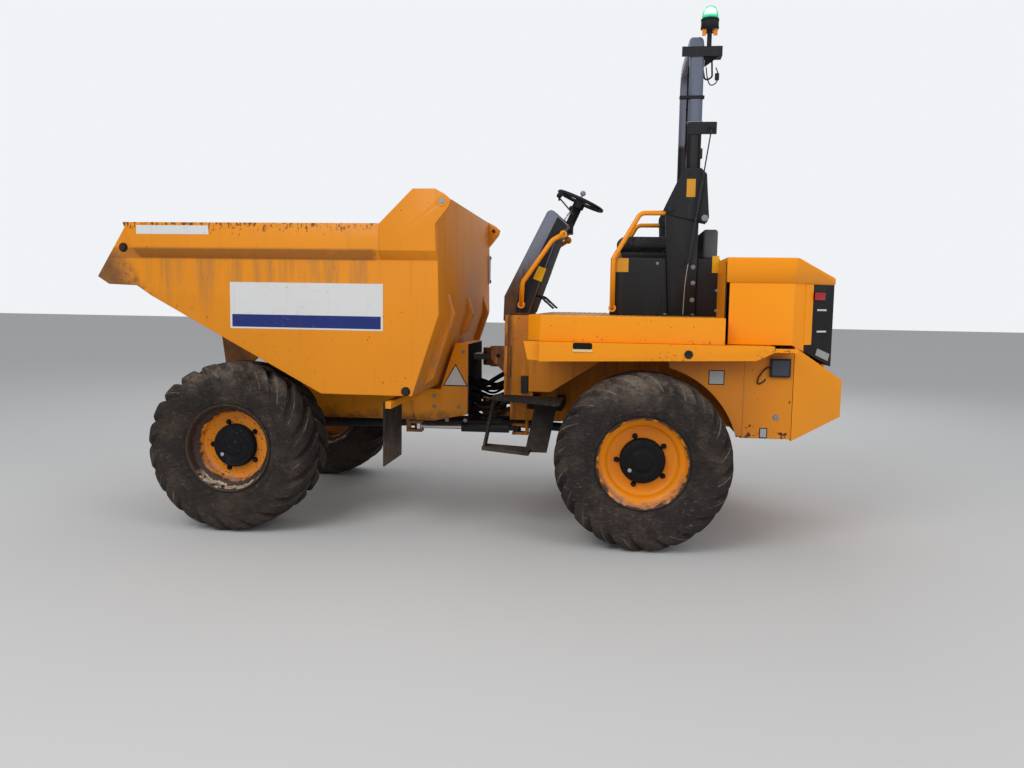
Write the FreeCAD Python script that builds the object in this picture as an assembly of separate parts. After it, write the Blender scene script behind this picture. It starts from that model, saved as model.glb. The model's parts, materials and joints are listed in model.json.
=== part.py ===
# Site dumper with an articulated frame and a forward-tipping skip.
# Millimetres. The machine's front, where the skip is, points along -X, its left side along -Y, and Z is up.
# The origin is on the ground, under the middle of the overall length and width.
import FreeCAD, Part
import math
import os

V = FreeCAD.Vector

# Driving sizes of the whole machine
WHEELBASE = 2790.0
SKIP_OVERHANG = 947.0            # from the front axle to the tip of the skip's lip
TAIL_OVERHANG = 1323.0           # from the rear axle to the back of the counterweight
ARTIC_BEHIND_FRONT_AXLE = 1660.0
TRACK_HALF = 975.0               # from the middle plane to the middle of a tyre

OVERALL_LENGTH = SKIP_OVERHANG + WHEELBASE + TAIL_OVERHANG
FRONT_AXLE_X = SKIP_OVERHANG - OVERALL_LENGTH / 2
REAR_AXLE_X = FRONT_AXLE_X + WHEELBASE
ARTIC_X = FRONT_AXLE_X + ARTIC_BEHIND_FRONT_AXLE

# Wheels
TYRE_RADIUS = 578.0
TYRE_WIDTH = 500.0
SIDEWALL_RADIUS = 455.0          # where the sidewall is widest
LUGS = 20                        # on each side of the tread, in chevrons
LUG_PITCH = 360.0 / LUGS
RIM_RADIUS = 288.0               # bead seat, where the tyre meets the rim
RIM_FLANGE_RADIUS = 302.0
RIM_HALF_WIDTH = 215.0
RIM_WALL = 9.0
DISC_INSET = 150.0               # from the outer flange in to the wheel disc
DISC_THICKNESS = 16.0
HUB_RADIUS = 150.0
HUB_STANDS_OUT = 62.0
HUB_REACH_IN = 110.0             # of the hub behind the wheel disc
SPINDLE_RADIUS = 40.0
SPINDLE_LENGTH = 60.0
RUNNING = 0.05                   # radial clearance of a shaft in its bore
AXLE_Z = TYRE_RADIUS

# Skip: its long profile, measured from the front axle
SKIP_PLATE = 10.0
SKIP_HALF_WIDTH = 1120.0         # outer face of the side plate
RIM_STANDS_OUT = 56.0
RIM_Z = 2091.0
RIM_LOW_Z = 1917.0
RIM_BAND_Z = 1857.0
RIM_FRONT_X = -724.0
HEADBOARD_Z = 2312.0
HEADBOARD_X = 1421.0
HUMP_START_X = 1054.0
HUMP_TOP_X = 1275.0
LIP_TIP = (-SKIP_OVERHANG, 1727.0)
LIP_FOLD = (-867.0, 1676.0)
CHUTE_BACK = (-664.0, 1669.0)
CHUTE_BEND = (-560.0, 1601.0)
INCLINE_END = (638.0, 962.0)
FLOOR_END = (1263.0, 962.0)
REAR_BEND = (1440.0, 1507.0)
EAR_TIP_X = 1523.0
EAR_HOLE = (1467.0, 2233.0)
EAR_HOLE_RADIUS = 17.0
RIBS = ((-780.0, 1010.0), (0.0, 1330.0), (780.0, 1010.0))   # place across, height of the foot
RIB_WIDTH = 62.0
RIB_DEPTH = 45.0
RIB_HEAD_Z = 1640.0

# Tipping pivot and rams, measured from the front axle
TIP_PIVOT = (-300.0, 1020.0)
TIP_PIN_RADIUS = 32.0
TIP_LUG_Y = 345.0                # inner face of the chassis lug
TIP_LUG_THICKNESS = 34.0
TIP_GAP = 6.0
TIP_BRACKET_THICKNESS = 28.0
RAM_BASE = (1000.0, 780.0)
RAM_EYE = (60.0, 1066.0)
RAM_Y = 165.0
RAM_BARREL_RADIUS = 52.0
RAM_ROD_RADIUS = 27.0
RAM_EYE_RADIUS = 46.0
RAM_EYE_WIDTH = 56.0
RAM_PIN_RADIUS = 22.0
RAM_EAR_CLEARANCE = 12.0
RAM_EAR_THICKNESS = 20.0

# Front chassis
RAIL_Y = 300.0                   # outer face of each side rail
RAIL_THICKNESS = 60.0
RAIL_TOP = 932.0
RAIL_BOTTOM = 690.0
RAIL_FRONT_X = -400.0
TOWER_THICKNESS = 30.0
AXLE_HOUSING_RADIUS = 88.0
AXLE_BULB_RADIUS = 168.0
AXLE_CLEARANCE = 3.0

# Articulation
PIVOT_PIN_RADIUS = 40.0
YOKE_RADIUS = 95.0
YOKE_PLATE = 44.0
YOKE_UPPER_Z = 1150.0
YOKE_LOWER_Z = 760.0
YOKE_GAP = 1.0

# Rear frame, measured from the rear axle
PLATFORM_TOP = 1515.0
PLATFORM_SKIRT = 172.0
PLATFORM_FRONT = -775.0
PLATFORM_BACK = 500.0
PLATFORM_CORNER = 90.0
PLATE = 12.0
FENDER_LOW_Z = 1215.0
CHASSIS_RAIL_Y = 330.0
CHASSIS_RAIL_THICKNESS = 40.0
CHASSIS_TOP = 1300.0
CHASSIS_BOTTOM = 720.0
CHASSIS_FRONT = -800.0
BULKHEAD_FRONT = -985.0
BULKHEAD_BACK = -775.0
BULKHEAD_HALF = 560.0
BODY_HALF = 950.0                # side faces of the bonnet and counterweight
PLATFORM_HALF = BODY_HALF + 100
FENDER_HALF = BODY_HALF + 160
BONNET_FRONT = 528.0
BONNET_TAIL = TAIL_OVERHANG - 83
BONNET_CORNER = BONNET_TAIL - 305    # where the side turns into the slanted corner
BONNET_TAIL_HALF = 700.0
BONNET_TOP = 1902.0
BONNET_BOTTOM = 1342.0
BONNET_WALL = 8.0
BONNET_SLOPE_X = BONNET_TAIL - 280
BONNET_TAIL_Z = 1782.0
TAIL_X = TAIL_OVERHANG
TAIL_HALF = 680.0
TAIL_TOP = 1110.0
TAIL_BOTTOM = 860.0
WEIGHT_TOP = 1336.0
WEIGHT_BOTTOM = 724.0
WEIGHT_FRONT = TAIL_OVERHANG - 368
BONNET_HINGE = (BONNET_TAIL - 4, 1196.0)
ENGINE_HALF = 255.0
ENGINE_BOTTOM = 1085.0
ENGINE_TOP = 1640.0
ENGINE_FRONT = BONNET_FRONT - 16
ENGINE_BACK = BONNET_TAIL - 160

# Seat, console and rollover hoop, measured from the rear axle
SEAT_BOX_FRONT = -245.0
SEAT_BOX_BACK = 515.0
SEAT_BOX_HALF = 480.0
SEAT_BOX_TOP = 1922.0
HOOP_HALF = 450.0                # middle of each leg
HOOP_TUBE = 96.0
HOOP_LEG_X = 307.0
HOOP_TOP_Z = 3460.0
HOOP_BEND = 120.0
HOOP_CORNER = 26.0               # outer corners of the hoop's square tube
HOOP_SPLIT_Z = 2262.0
HOOP_PIVOT = (159.0, 2262.0)
HOOP_PIN_RADIUS = 16.0
STRUT_BALL = (293.0, 1895.0)
STRUT_HEAD = (418.0, 2812.0)
WHEEL_CENTRE = (-490.0, 2372.0)
WHEEL_RADIUS = 190.0
WHEEL_TUBE = 14.0
WHEEL_TILT = 24.0
RAIL_TUBE_RADIUS = 17.0


def front(point):
    """A place measured from the front axle, in the machine's frame."""
    return (FRONT_AXLE_X + point[0], point[1])


def rear(point):
    """A place measured from the rear axle, in the machine's frame."""
    return (REAR_AXLE_X + point[0], point[1])


def box(x0, x1, y0, y1, z0, z1):
    return Part.makeBox(x1 - x0, y1 - y0, z1 - z0, V(x0, y0, z0))


def prism_y(points, y0, y1):
    """Side profile of (x, z) points, extruded from y0 to y1."""
    wire = Part.makePolygon([V(x, y0, z) for x, z in points] + [V(points[0][0], y0, points[0][1])])
    return Part.Face(wire).extrude(V(0, y1 - y0, 0))


def prism_z(points, z0, z1):
    """Plan of (x, y) points, extruded from z0 to z1."""
    wire = Part.makePolygon([V(x, y, z0) for x, y in points] + [V(points[0][0], points[0][1], z0)])
    return Part.Face(wire).extrude(V(0, 0, z1 - z0))


def prism_x(points, x0, x1):
    """Cross-section of (y, z) points, extruded from x0 to x1."""
    wire = Part.makePolygon([V(x0, y, z) for y, z in points] + [V(x0, points[0][0], points[0][1])])
    return Part.Face(wire).extrude(V(x1 - x0, 0, 0))


def rod_y(point, radius, y0, y1):
    return Part.makeCylinder(radius, y1 - y0, V(point[0], y0, point[1]), V(0, 1, 0))


def rod_z(x, y, radius, z0, z1):
    return Part.makeCylinder(radius, z1 - z0, V(x, y, z0))


def rod(a, b, radius):
    direction = b.sub(a)
    return Part.makeCylinder(radius, direction.Length, a, direction)


def fuse(shapes):
    result = shapes[0]
    for shape in shapes[1:]:
        result = result.fuse(shape)
    return result.removeSplitter()


def mirrored(shape):
    """The same piece on the machine's right side."""
    return shape.mirror(V(0, 0, 0), V(0, 1, 0))


def both_sides(shape):
    return Part.makeCompound([shape, mirrored(shape)])


def strip(points, thickness):
    """Closed outline of a bent plate: the path, and the path moved to its left by the thickness."""
    moved = []
    for index, (x, z) in enumerate(points):
        ahead = points[min(index + 1, len(points) - 1)]
        behind = points[max(index - 1, 0)]
        before = (x - behind[0], z - behind[1]) if index > 0 else (ahead[0] - x, ahead[1] - z)
        after = (ahead[0] - x, ahead[1] - z) if index < len(points) - 1 else before
        n1 = (-before[1] / math.hypot(*before), before[0] / math.hypot(*before))
        n2 = (-after[1] / math.hypot(*after), after[0] / math.hypot(*after))
        mid = (n1[0] + n2[0], n1[1] + n2[1])
        scale = 2.0 / (mid[0] ** 2 + mid[1] ** 2)
        moved.append((x + mid[0] * scale * thickness, z + mid[1] * scale * thickness))
    return list(points) + moved[::-1]


def bent_section(points, section, bend):
    """A section carried along straight runs joined by tangent arcs of one radius."""
    edges = []
    start = points[0]
    for before, corner, after in zip(points, points[1:], points[2:]):
        u = before.sub(corner).normalize()
        w = after.sub(corner).normalize()
        half = math.acos(max(-1.0, min(1.0, u.dot(w)))) / 2
        reach = bend / math.tan(half)
        a = corner.add(V(u).multiply(reach))
        b = corner.add(V(w).multiply(reach))
        inward = u.add(w).normalize()
        centre = corner.add(V(inward).multiply(bend / math.sin(half)))
        middle = centre.sub(V(inward).multiply(bend))
        edges.append(Part.LineSegment(start, a).toShape())
        edges.append(Part.Arc(a, middle, b).toShape())
        start = b
    edges.append(Part.LineSegment(start, points[-1]).toShape())
    return Part.Wire(edges).makePipeShell([section], True, False)


def bent_tube(points, radius, bend):
    """Round tube along straight runs joined by tangent arcs."""
    section = Part.Wire([Part.makeCircle(radius, points[0], points[1].sub(points[0]))])
    return bent_section(points, section, bend)


def revolve_y(profile, x, y, z, side):
    """Solid of (radius, offset) points turned about a line along Y; side is -1 left or 1 right."""
    points = [V(x + r, y + side * w, z) for r, w in profile]
    face = Part.Face(Part.makePolygon(points + [points[0]]))
    return face.revolve(V(x, y, z), V(0, 1, 0), 360)


pieces = {}


# Tyres: a hollow ring of flat facets, two to a lug's pitch, with the chevron lugs standing on every other facet
# of each half. Columns: distance from the middle and radius of the floor, the same of the lug's top, and how far
# the lug trails there, in degrees.
LUG_SECTIONS = (
    (25, 540, 25, TYRE_RADIUS, 0),
    (206, 531, 206, TYRE_RADIUS - 11, -12),
    (237, 489, TYRE_WIDTH / 2, 506, -21))
FACET = LUG_PITCH / 2
SIDE_SECTIONS = (                # distance from the middle, radius
    (TYRE_WIDTH / 2, SIDEWALL_RADIUS),
    (RIM_HALF_WIDTH - 10, RIM_FLANGE_RADIUS + 30),
    (RIM_HALF_WIDTH - 24, RIM_RADIUS / math.cos(math.radians(FACET / 2))))


def tyre():
    """Left-hand tyre standing on the origin; the lugs of its two halves are half a pitch apart."""
    def point(half, across, radius, trail, column):
        angle = math.radians(-90 + column * FACET + trail)
        return V(radius * math.cos(angle), half * across, TYRE_RADIUS + radius * math.sin(angle))

    def panel(*corners):
        return Part.Face(Part.makePolygon(list(corners) + [corners[0]]))

    def twisted(a, b, c, d):
        return [panel(a, b, c), panel(a, c, d)]

    faces = []
    last_trail = LUG_SECTIONS[-1][4]
    for column in range(2 * LUGS):
        for half in (-1, 1):
            floor = [[point(half, w, r, trail, column + k) for w, r, top_w, top_r, trail in LUG_SECTIONS] for k in (0, 1)]
            top = [[point(half, top_w, top_r, trail, column + k) for w, r, top_w, top_r, trail in LUG_SECTIONS] for k in (0, 1)]
            has_lug = (column + (half > 0)) % 2 == 0
            level = top if has_lug else floor
            for j in range(len(LUG_SECTIONS) - 1):
                faces += twisted(level[0][j], level[1][j], level[1][j + 1], level[0][j + 1])
                faces += twisted(floor[0][j], floor[0][j + 1], top[0][j + 1], top[0][j])
            if has_lug:
                for j in (0, -1):
                    faces.append(panel(floor[0][j], floor[1][j], top[1][j], top[0][j]))
            side = [[floor[k][-1]] + [point(half, w, r, last_trail, column + k) for w, r in SIDE_SECTIONS] for k in (0, 1)]
            for j in range(len(SIDE_SECTIONS)):
                faces.append(panel(side[0][j], side[1][j], side[1][j + 1], side[0][j + 1]))
        for across, radius, trail in ((LUG_SECTIONS[0][0], LUG_SECTIONS[0][1], 0), (*SIDE_SECTIONS[-1], last_trail)):
            faces.append(panel(point(-1, across, radius, trail, column), point(-1, across, radius, trail, column + 1),
                               point(1, across, radius, trail, column + 1), point(1, across, radius, trail, column)))
    shell = Part.makeShell(faces)
    shell.sewShape()
    solid = Part.makeSolid(shell)
    if solid.Volume < 0:
        solid.reverse()
    return solid


# Wheel: rim with its two flanges and drop centre, disc set in from the outer flange, and the hub's end
def wheel(x, side):
    half = RIM_HALF_WIDTH
    disc = half - DISC_INSET
    well = RIM_RADIUS - 46
    barrel = [
        (RIM_FLANGE_RADIUS, half), (RIM_FLANGE_RADIUS, half - 10), (RIM_RADIUS - 0.3, half - 12),
        (RIM_RADIUS - 0.3, half - 60), (well, half - 95), (well, -half + 60),
        (RIM_RADIUS - 0.3, -half + 30), (RIM_RADIUS - 0.3, -half + 12), (RIM_FLANGE_RADIUS, -half + 10),
        (RIM_FLANGE_RADIUS, -half), (RIM_RADIUS - RIM_WALL, -half), (RIM_RADIUS - RIM_WALL, -half + 26),
        (well - RIM_WALL, -half + 56), (well - RIM_WALL, half - 98),
        (RIM_RADIUS - RIM_WALL, half - 63), (RIM_RADIUS - RIM_WALL, half)]
    y = side * TRACK_HALF
    rim = revolve_y(barrel, x, y, AXLE_Z, side)
    web = revolve_y([(0, disc), (well - 2, disc), (well - 2, disc - DISC_THICKNESS), (0, disc - DISC_THICKNESS)],
                    x, y, AXLE_Z, side)
    face = disc + HUB_STANDS_OUT
    back = disc - DISC_THICKNESS - HUB_REACH_IN
    bore = SPINDLE_RADIUS + RUNNING
    hub = revolve_y([(0, face), (62, face), (70, face - 10), (HUB_RADIUS - 16, face - 14), (HUB_RADIUS, face - 30),
                     (HUB_RADIUS, back + 40), (HUB_RADIUS - 30, back), (bore, back), (bore, back + SPINDLE_LENGTH + 4),
                     (0, back + SPINDLE_LENGTH + 4)], x, y, AXLE_Z, side)
    return fuse([rim, web, hub])


AXLES = (("front", FRONT_AXLE_X), ("rear", REAR_AXLE_X))
SIDES = (("left", -1), ("right", 1))
left_tyre = tyre()
left_tyre.translate(V(0, -TRACK_HALF, AXLE_Z - TYRE_RADIUS))
for axle_name, axle_x in AXLES:
    for side_name, side in SIDES:
        placed = left_tyre.copy() if side < 0 else mirrored(left_tyre)
        placed.translate(V(axle_x, 0, 0))
        pieces[f"tyre_{axle_name}_{side_name}"] = placed
        pieces[f"wheel_{axle_name}_{side_name}"] = wheel(axle_x, side)

HUB_INNER_Y = TRACK_HALF + RIM_HALF_WIDTH - DISC_INSET - DISC_THICKNESS - HUB_REACH_IN


# Axle: tapered housings, the differential bulb and the flat pads under the chassis
def axle(x, pad_top):
    end = HUB_INNER_Y - AXLE_CLEARANCE
    tip = HUB_INNER_Y + SPINDLE_LENGTH
    parts = [rod_y((x, AXLE_Z), AXLE_HOUSING_RADIUS, -end, end), rod_y((x, AXLE_Z), SPINDLE_RADIUS, -tip, tip),
             Part.makeSphere(AXLE_BULB_RADIUS, V(x, 0, AXLE_Z))]
    for side in (-1, 1):
        cone = Part.makeCone(AXLE_BULB_RADIUS - 20, AXLE_HOUSING_RADIUS, 220, V(x, side * 90, AXLE_Z), V(0, side, 0))
        drum = rod_y((x, AXLE_Z), 132, min(side * end, side * (end - 90)), max(side * end, side * (end - 90)))
        pad = box(x - 90, x + 90, min(side * 230, side * 340), max(side * 230, side * 340), AXLE_Z, pad_top)
        parts += [cone, drum, pad]
    return fuse(parts)


pieces["front_axle"] = axle(FRONT_AXLE_X, RAIL_BOTTOM)
pieces["rear_axle"] = axle(REAR_AXLE_X, CHASSIS_BOTTOM)

# Skip floor, chute and rear wall: one bent path of plate, cut where the real plates are welded
CHUTE_PATH = [front(p) for p in (LIP_TIP, LIP_FOLD, CHUTE_BACK, CHUTE_BEND)]
FLOOR_PATH = [front(p) for p in (CHUTE_BEND, INCLINE_END, FLOOR_END)]
WALL_PATH = [front(p) for p in (FLOOR_END, REAR_BEND, (HEADBOARD_X, HEADBOARD_Z))]
WHOLE_PATH = CHUTE_PATH + FLOOR_PATH[1:] + WALL_PATH[1:]
INNER = SKIP_HALF_WIDTH - SKIP_PLATE
WHOLE_OUTLINE = strip(WHOLE_PATH, SKIP_PLATE)
whole_floor = prism_y(WHOLE_OUTLINE, -INNER, INNER)
chute_x = front(CHUTE_BEND)[0]
wall_x = front(FLOOR_END)[0]
pieces["skip_chute"] = whole_floor.common(box(chute_x - 900, chute_x, -INNER, INNER, 900, 2400))
pieces["skip_floor"] = whole_floor.common(box(chute_x, wall_x, -INNER, INNER, 900, 1700))
pieces["skip_rear_wall"] = whole_floor.common(box(wall_x, wall_x + 300, -INNER, INNER, 900, 2400))

# Skip sides: plates with the folded rim standing proud of them and the eye plates at the back
side_outline = WHOLE_PATH + [front((HUMP_TOP_X, HEADBOARD_Z)), front((HUMP_START_X, RIM_Z)), front((RIM_FRONT_X, RIM_Z))]
side_plate = prism_y(side_outline, -SKIP_HALF_WIDTH, -INNER)
pieces["skip_sides"] = both_sides(side_plate)
RIM_OUTER = SKIP_HALF_WIDTH + RIM_STANDS_OUT
rim_outline = [front(p) for p in (
    (RIM_FRONT_X, RIM_Z), (RIM_FRONT_X + 96, RIM_BAND_Z), (REAR_BEND[0] - 8, RIM_BAND_Z),
    (HEADBOARD_X + 2, RIM_LOW_Z + 170), (EAR_TIP_X - 12, EAR_HOLE[1] - 34), (EAR_TIP_X, EAR_HOLE[1] + 12),
    (EAR_TIP_X - 40, EAR_HOLE[1] + 46), (HEADBOARD_X, HEADBOARD_Z), (HUMP_TOP_X, HEADBOARD_Z),
    (HUMP_START_X, RIM_Z))]
rim_body = prism_y(rim_outline, -RIM_OUTER, -SKIP_HALF_WIDTH)
chamfer = prism_x([(-RIM_OUTER - 1, RIM_BAND_Z - 1), (-SKIP_HALF_WIDTH, RIM_BAND_Z), (-RIM_OUTER, RIM_LOW_Z),
                   (-RIM_OUTER - 1, RIM_LOW_Z)], front((-900, 0))[0], front((1700, 0))[0])
eye = rod_y(front(EAR_HOLE), EAR_HOLE_RADIUS, -RIM_OUTER - 1, -SKIP_HALF_WIDTH + 1)
rim_body = rim_body.cut(chamfer).cut(eye)
hump_zone = box(front((HUMP_START_X, 0))[0], front((EAR_TIP_X + 1, 0))[0], -RIM_OUTER - 1, -SKIP_HALF_WIDTH, 1700, HEADBOARD_Z + 1)
pieces["skip_rims"] = both_sides(rim_body.cut(hump_zone))
pieces["skip_rear_flanges"] = both_sides(rim_body.common(hump_zone))


def wall_behind(z):
    """X of the rear wall's outer face at a height, from the front axle."""
    if z < REAR_BEND[1]:
        share = (z - FLOOR_END[1]) / (REAR_BEND[1] - FLOOR_END[1])
        return FLOOR_END[0] + share * (REAR_BEND[0] - FLOOR_END[0])
    share = (z - REAR_BEND[1]) / (HEADBOARD_Z - REAR_BEND[1])
    return REAR_BEND[0] + share * (HEADBOARD_X - REAR_BEND[0])


ribs = []
for rib_y, foot_z in RIBS:
    rib_outline = [front(p) for p in (
        (wall_behind(foot_z), foot_z), (wall_behind(foot_z + 40) + RIB_DEPTH, foot_z + 40),
        (REAR_BEND[0] + RIB_DEPTH, REAR_BEND[1] - 8), (wall_behind(RIB_HEAD_Z), RIB_HEAD_Z), REAR_BEND)]
    ribs.append(prism_y(rib_outline, rib_y - RIB_WIDTH / 2, rib_y + RIB_WIDTH / 2))
pieces["skip_ribs"] = Part.makeCompound(ribs)


def incline_z(x):
    """Height of the sloping floor's underside at a place behind the front axle."""
    share = (x - CHUTE_BEND[0]) / (INCLINE_END[0] - CHUTE_BEND[0])
    return CHUTE_BEND[1] + share * (INCLINE_END[1] - CHUTE_BEND[1])


# Brackets under the skip: two pivot plates and four ears that straddle the rams' eyes
bracket_y = TIP_LUG_Y + TIP_LUG_THICKNESS + TIP_GAP
bracket_outline = [front(p) for p in (
    (TIP_PIVOT[0] - 62, TIP_PIVOT[1] + 10), (TIP_PIVOT[0] - 40, TIP_PIVOT[1] - 52),
    (TIP_PIVOT[0] + 40, TIP_PIVOT[1] - 52), (TIP_PIVOT[0] + 64, TIP_PIVOT[1] + 10),
    (TIP_PIVOT[0] + 330, incline_z(TIP_PIVOT[0] + 330)), (TIP_PIVOT[0] - 130, incline_z(TIP_PIVOT[0] - 130)))]
bracket = prism_y(bracket_outline, -bracket_y - TIP_BRACKET_THICKNESS, -bracket_y)
pin_hole = rod_y(front(TIP_PIVOT), TIP_PIN_RADIUS + 0.05, -bracket_y - TIP_BRACKET_THICKNESS - 1, -bracket_y + 1)
brackets = [bracket.cut(pin_hole), mirrored(bracket.cut(pin_hole))]
ear_outline = [front(p) for p in (
    (RAM_EYE[0] - 36, RAM_EYE[1] + 20), (RAM_EYE[0] - 20, RAM_EYE[1] - 36), (RAM_EYE[0] + 22, RAM_EYE[1] - 36),
    (RAM_EYE[0] + 44, RAM_EYE[1] + 10), (RAM_EYE[0] + 160, incline_z(RAM_EYE[0] + 160)),
    (RAM_EYE[0] - 120, incline_z(RAM_EYE[0] - 120)))]
ear_gap = RAM_EYE_WIDTH / 2 + RAM_EAR_CLEARANCE
for ram_side in (-1, 1):
    for ear_side in (-1, 1):
        middle = ram_side * RAM_Y + ear_side * (ear_gap + RAM_EAR_THICKNESS / 2)
        ear = prism_y(ear_outline, middle - RAM_EAR_THICKNESS / 2, middle + RAM_EAR_THICKNESS / 2)
        brackets.append(ear)
pieces["skip_brackets"] = Part.makeCompound(brackets)

# Front chassis: two rails, cross members, pivot lugs with their pins, the tower and the articulation tongue
rail_outline = [front(p) for p in (
    (RAIL_FRONT_X, RAIL_TOP - 60), (RAIL_FRONT_X + 60, RAIL_TOP), (1240, RAIL_TOP), (1240, RAIL_BOTTOM),
    (150, RAIL_BOTTOM), (-150, RAIL_BOTTOM), (RAIL_FRONT_X + 40, RAIL_BOTTOM + 50), (RAIL_FRONT_X, RAIL_TOP - 110))]
rail = prism_y(rail_outline, -RAIL_Y, -RAIL_Y + RAIL_THICKNESS)
lug_outline = [front(p) for p in (
    (TIP_PIVOT[0] - 58, TIP_PIVOT[1] + 18), (TIP_PIVOT[0] - 28, TIP_PIVOT[1] + 56),
    (TIP_PIVOT[0] + 28, TIP_PIVOT[1] + 56), (TIP_PIVOT[0] + 58, TIP_PIVOT[1] + 18),
    (TIP_PIVOT[0] + 210, RAIL_TOP), (TIP_PIVOT[0] + 210, RAIL_BOTTOM + 60), (TIP_PIVOT[0] - 80, RAIL_BOTTOM + 80))]
lug = prism_y(lug_outline, -TIP_LUG_Y - TIP_LUG_THICKNESS, -RAIL_Y)
tip_pin = rod_y(front(TIP_PIVOT), TIP_PIN_RADIUS, -bracket_y - TIP_BRACKET_THICKNESS - 6, -RAIL_Y)
tower_outline = [front(p) for p in (
    (1290, 932), (1402, 1284), (1500, 1278), (1507, 748), (1240, RAIL_BOTTOM), (1100, RAIL_BOTTOM), (1050, 932))]
tower = prism_y(tower_outline, -RAIL_Y - 24, -RAIL_Y - 24 + TOWER_THICKNESS)
front_side = fuse([rail, lug, tip_pin, tower])
tongue_x = front((1500, 0))[0]
tower_cap = box(front((1404, 0))[0], tongue_x, -RAIL_Y - 24, RAIL_Y + 24, 1250, 1278)
tower_back = box(tongue_x - 30, tongue_x, -RAIL_Y - 24, RAIL_Y + 24, 748, 1278)
cross_rear = box(front((1050, 0))[0], front((1110, 0))[0], -RAIL_Y, RAIL_Y, RAIL_BOTTOM + 50, RAIL_TOP - 30)
cross_front = box(front((RAIL_FRONT_X, 0))[0], front((RAIL_FRONT_X + 46, 0))[0], -RAIL_Y, RAIL_Y,
                  RAIL_BOTTOM + 132, RAIL_TOP - 60)
tongues = []
for tongue_z in (YOKE_UPPER_Z, YOKE_LOWER_Z):
    plate = fuse([box(tongue_x - 4, ARTIC_X, -YOKE_RADIUS, YOKE_RADIUS, tongue_z, tongue_z + YOKE_PLATE),
                  rod_z(ARTIC_X, 0, YOKE_RADIUS, tongue_z, tongue_z + YOKE_PLATE)])
    tongues.append(plate.cut(rod_z(ARTIC_X, 0, PIVOT_PIN_RADIUS + 0.05, tongue_z - 1, tongue_z + YOKE_PLATE + 1)))
ram_base_pin = rod_y(front(RAM_BASE), RAM_PIN_RADIUS, -RAIL_Y + 10, RAIL_Y - 10)
pieces["front_chassis"] = fuse([front_side, mirrored(front_side), tower_cap, tower_back, cross_rear, cross_front,
                                ram_base_pin] + tongues)

# Tipping rams: barrels on one cross pin in the chassis, rods with eyes between the skip's ears
ram_a = V(front(RAM_BASE)[0], 0, RAM_BASE[1])
ram_b = V(front(RAM_EYE)[0], 0, RAM_EYE[1])
ram_length = ram_b.sub(ram_a).Length
ram_dir = ram_b.sub(ram_a).normalize()
barrel_end = ram_length - RAM_EYE_RADIUS - 60
barrels = []
rods = []
for ram_side in (-1, 1):
    shift = V(0, ram_side * RAM_Y, 0)
    along = lambda distance: ram_a.add(shift).add(V(ram_dir).multiply(distance))
    eye_y = ram_side * RAM_Y
    base_eye = rod_y((ram_a.x, ram_a.z), RAM_EYE_RADIUS, eye_y - RAM_EYE_WIDTH / 2, eye_y + RAM_EYE_WIDTH / 2)
    barrel = rod(along(30), along(barrel_end), RAM_BARREL_RADIUS)
    gland = rod(along(barrel_end - 40), along(barrel_end), RAM_BARREL_RADIUS + 6)
    solid = fuse([base_eye, barrel, gland])
    solid = solid.cut(rod_y((ram_a.x, ram_a.z), RAM_PIN_RADIUS + 0.05, eye_y - 60, eye_y + 60))
    barrels.append(solid.cut(rod(along(60), along(barrel_end + 1), RAM_ROD_RADIUS + 0.05)))
    eye_end = rod_y((ram_b.x, ram_b.z), RAM_EYE_RADIUS, eye_y - RAM_EYE_WIDTH / 2, eye_y + RAM_EYE_WIDTH / 2)
    eye_pin = rod_y((ram_b.x, ram_b.z), RAM_PIN_RADIUS, eye_y - RAM_EYE_WIDTH / 2 - 6, eye_y + RAM_EYE_WIDTH / 2 + 6)
    rods.append(fuse([rod(along(80), along(ram_length - 20), RAM_ROD_RADIUS), eye_end, eye_pin]))
pieces["tip_ram_barrels"] = Part.makeCompound(barrels)
pieces["tip_ram_rods"] = Part.makeCompound(rods)

# Mudflaps hang behind the front tyres from arms on the front chassis
FLAP_X = 1080.0
FLAP_THICKNESS = 12.0
flap = box(front((FLAP_X, 0))[0], front((FLAP_X + FLAP_THICKNESS, 0))[0], -1168, -712, 492, 925)
pieces["front_mudflaps"] = both_sides(flap)
flap_arm = box(front((FLAP_X + FLAP_THICKNESS, 0))[0], front((FLAP_X + FLAP_THICKNESS + 40, 0))[0],
               -1160, -RAIL_Y - 6, 880, 925)
pieces["front_chassis"] = fuse([pieces["front_chassis"], flap_arm, mirrored(flap_arm)])

# Rear chassis: two deep side plates, the front bulkhead box, cross members and the articulation yoke
rear_plate = prism_y([rear(p) for p in (
    (CHASSIS_FRONT, CHASSIS_TOP), (CHASSIS_FRONT, CHASSIS_BOTTOM), (WEIGHT_FRONT, CHASSIS_BOTTOM),
    (WEIGHT_FRONT, 1080), (520, 1080), (440, CHASSIS_TOP))], -CHASSIS_RAIL_Y, -CHASSIS_RAIL_Y + CHASSIS_RAIL_THICKNESS)
bulkhead = box(rear((BULKHEAD_FRONT, 0))[0], rear((BULKHEAD_BACK, 0))[0], -BULKHEAD_HALF, BULKHEAD_HALF,
               YOKE_LOWER_Z + YOKE_PLATE + 120, PLATFORM_TOP - PLATE)
bulkhead_low = box(rear((BULKHEAD_FRONT + 20, 0))[0], rear((BULKHEAD_BACK, 0))[0], -CHASSIS_RAIL_Y - 10,
                   CHASSIS_RAIL_Y + 10, CHASSIS_BOTTOM, YOKE_LOWER_Z + YOKE_PLATE + 121)
BULKHEAD_EAR = ((-940, 1283), (-1056, 1283), (-1084, 1246), (-1076, 1188), (-960, 1066), (-940, 1066))
BULKHEAD_EAR_HOLE = (-1028, 1210)
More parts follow.
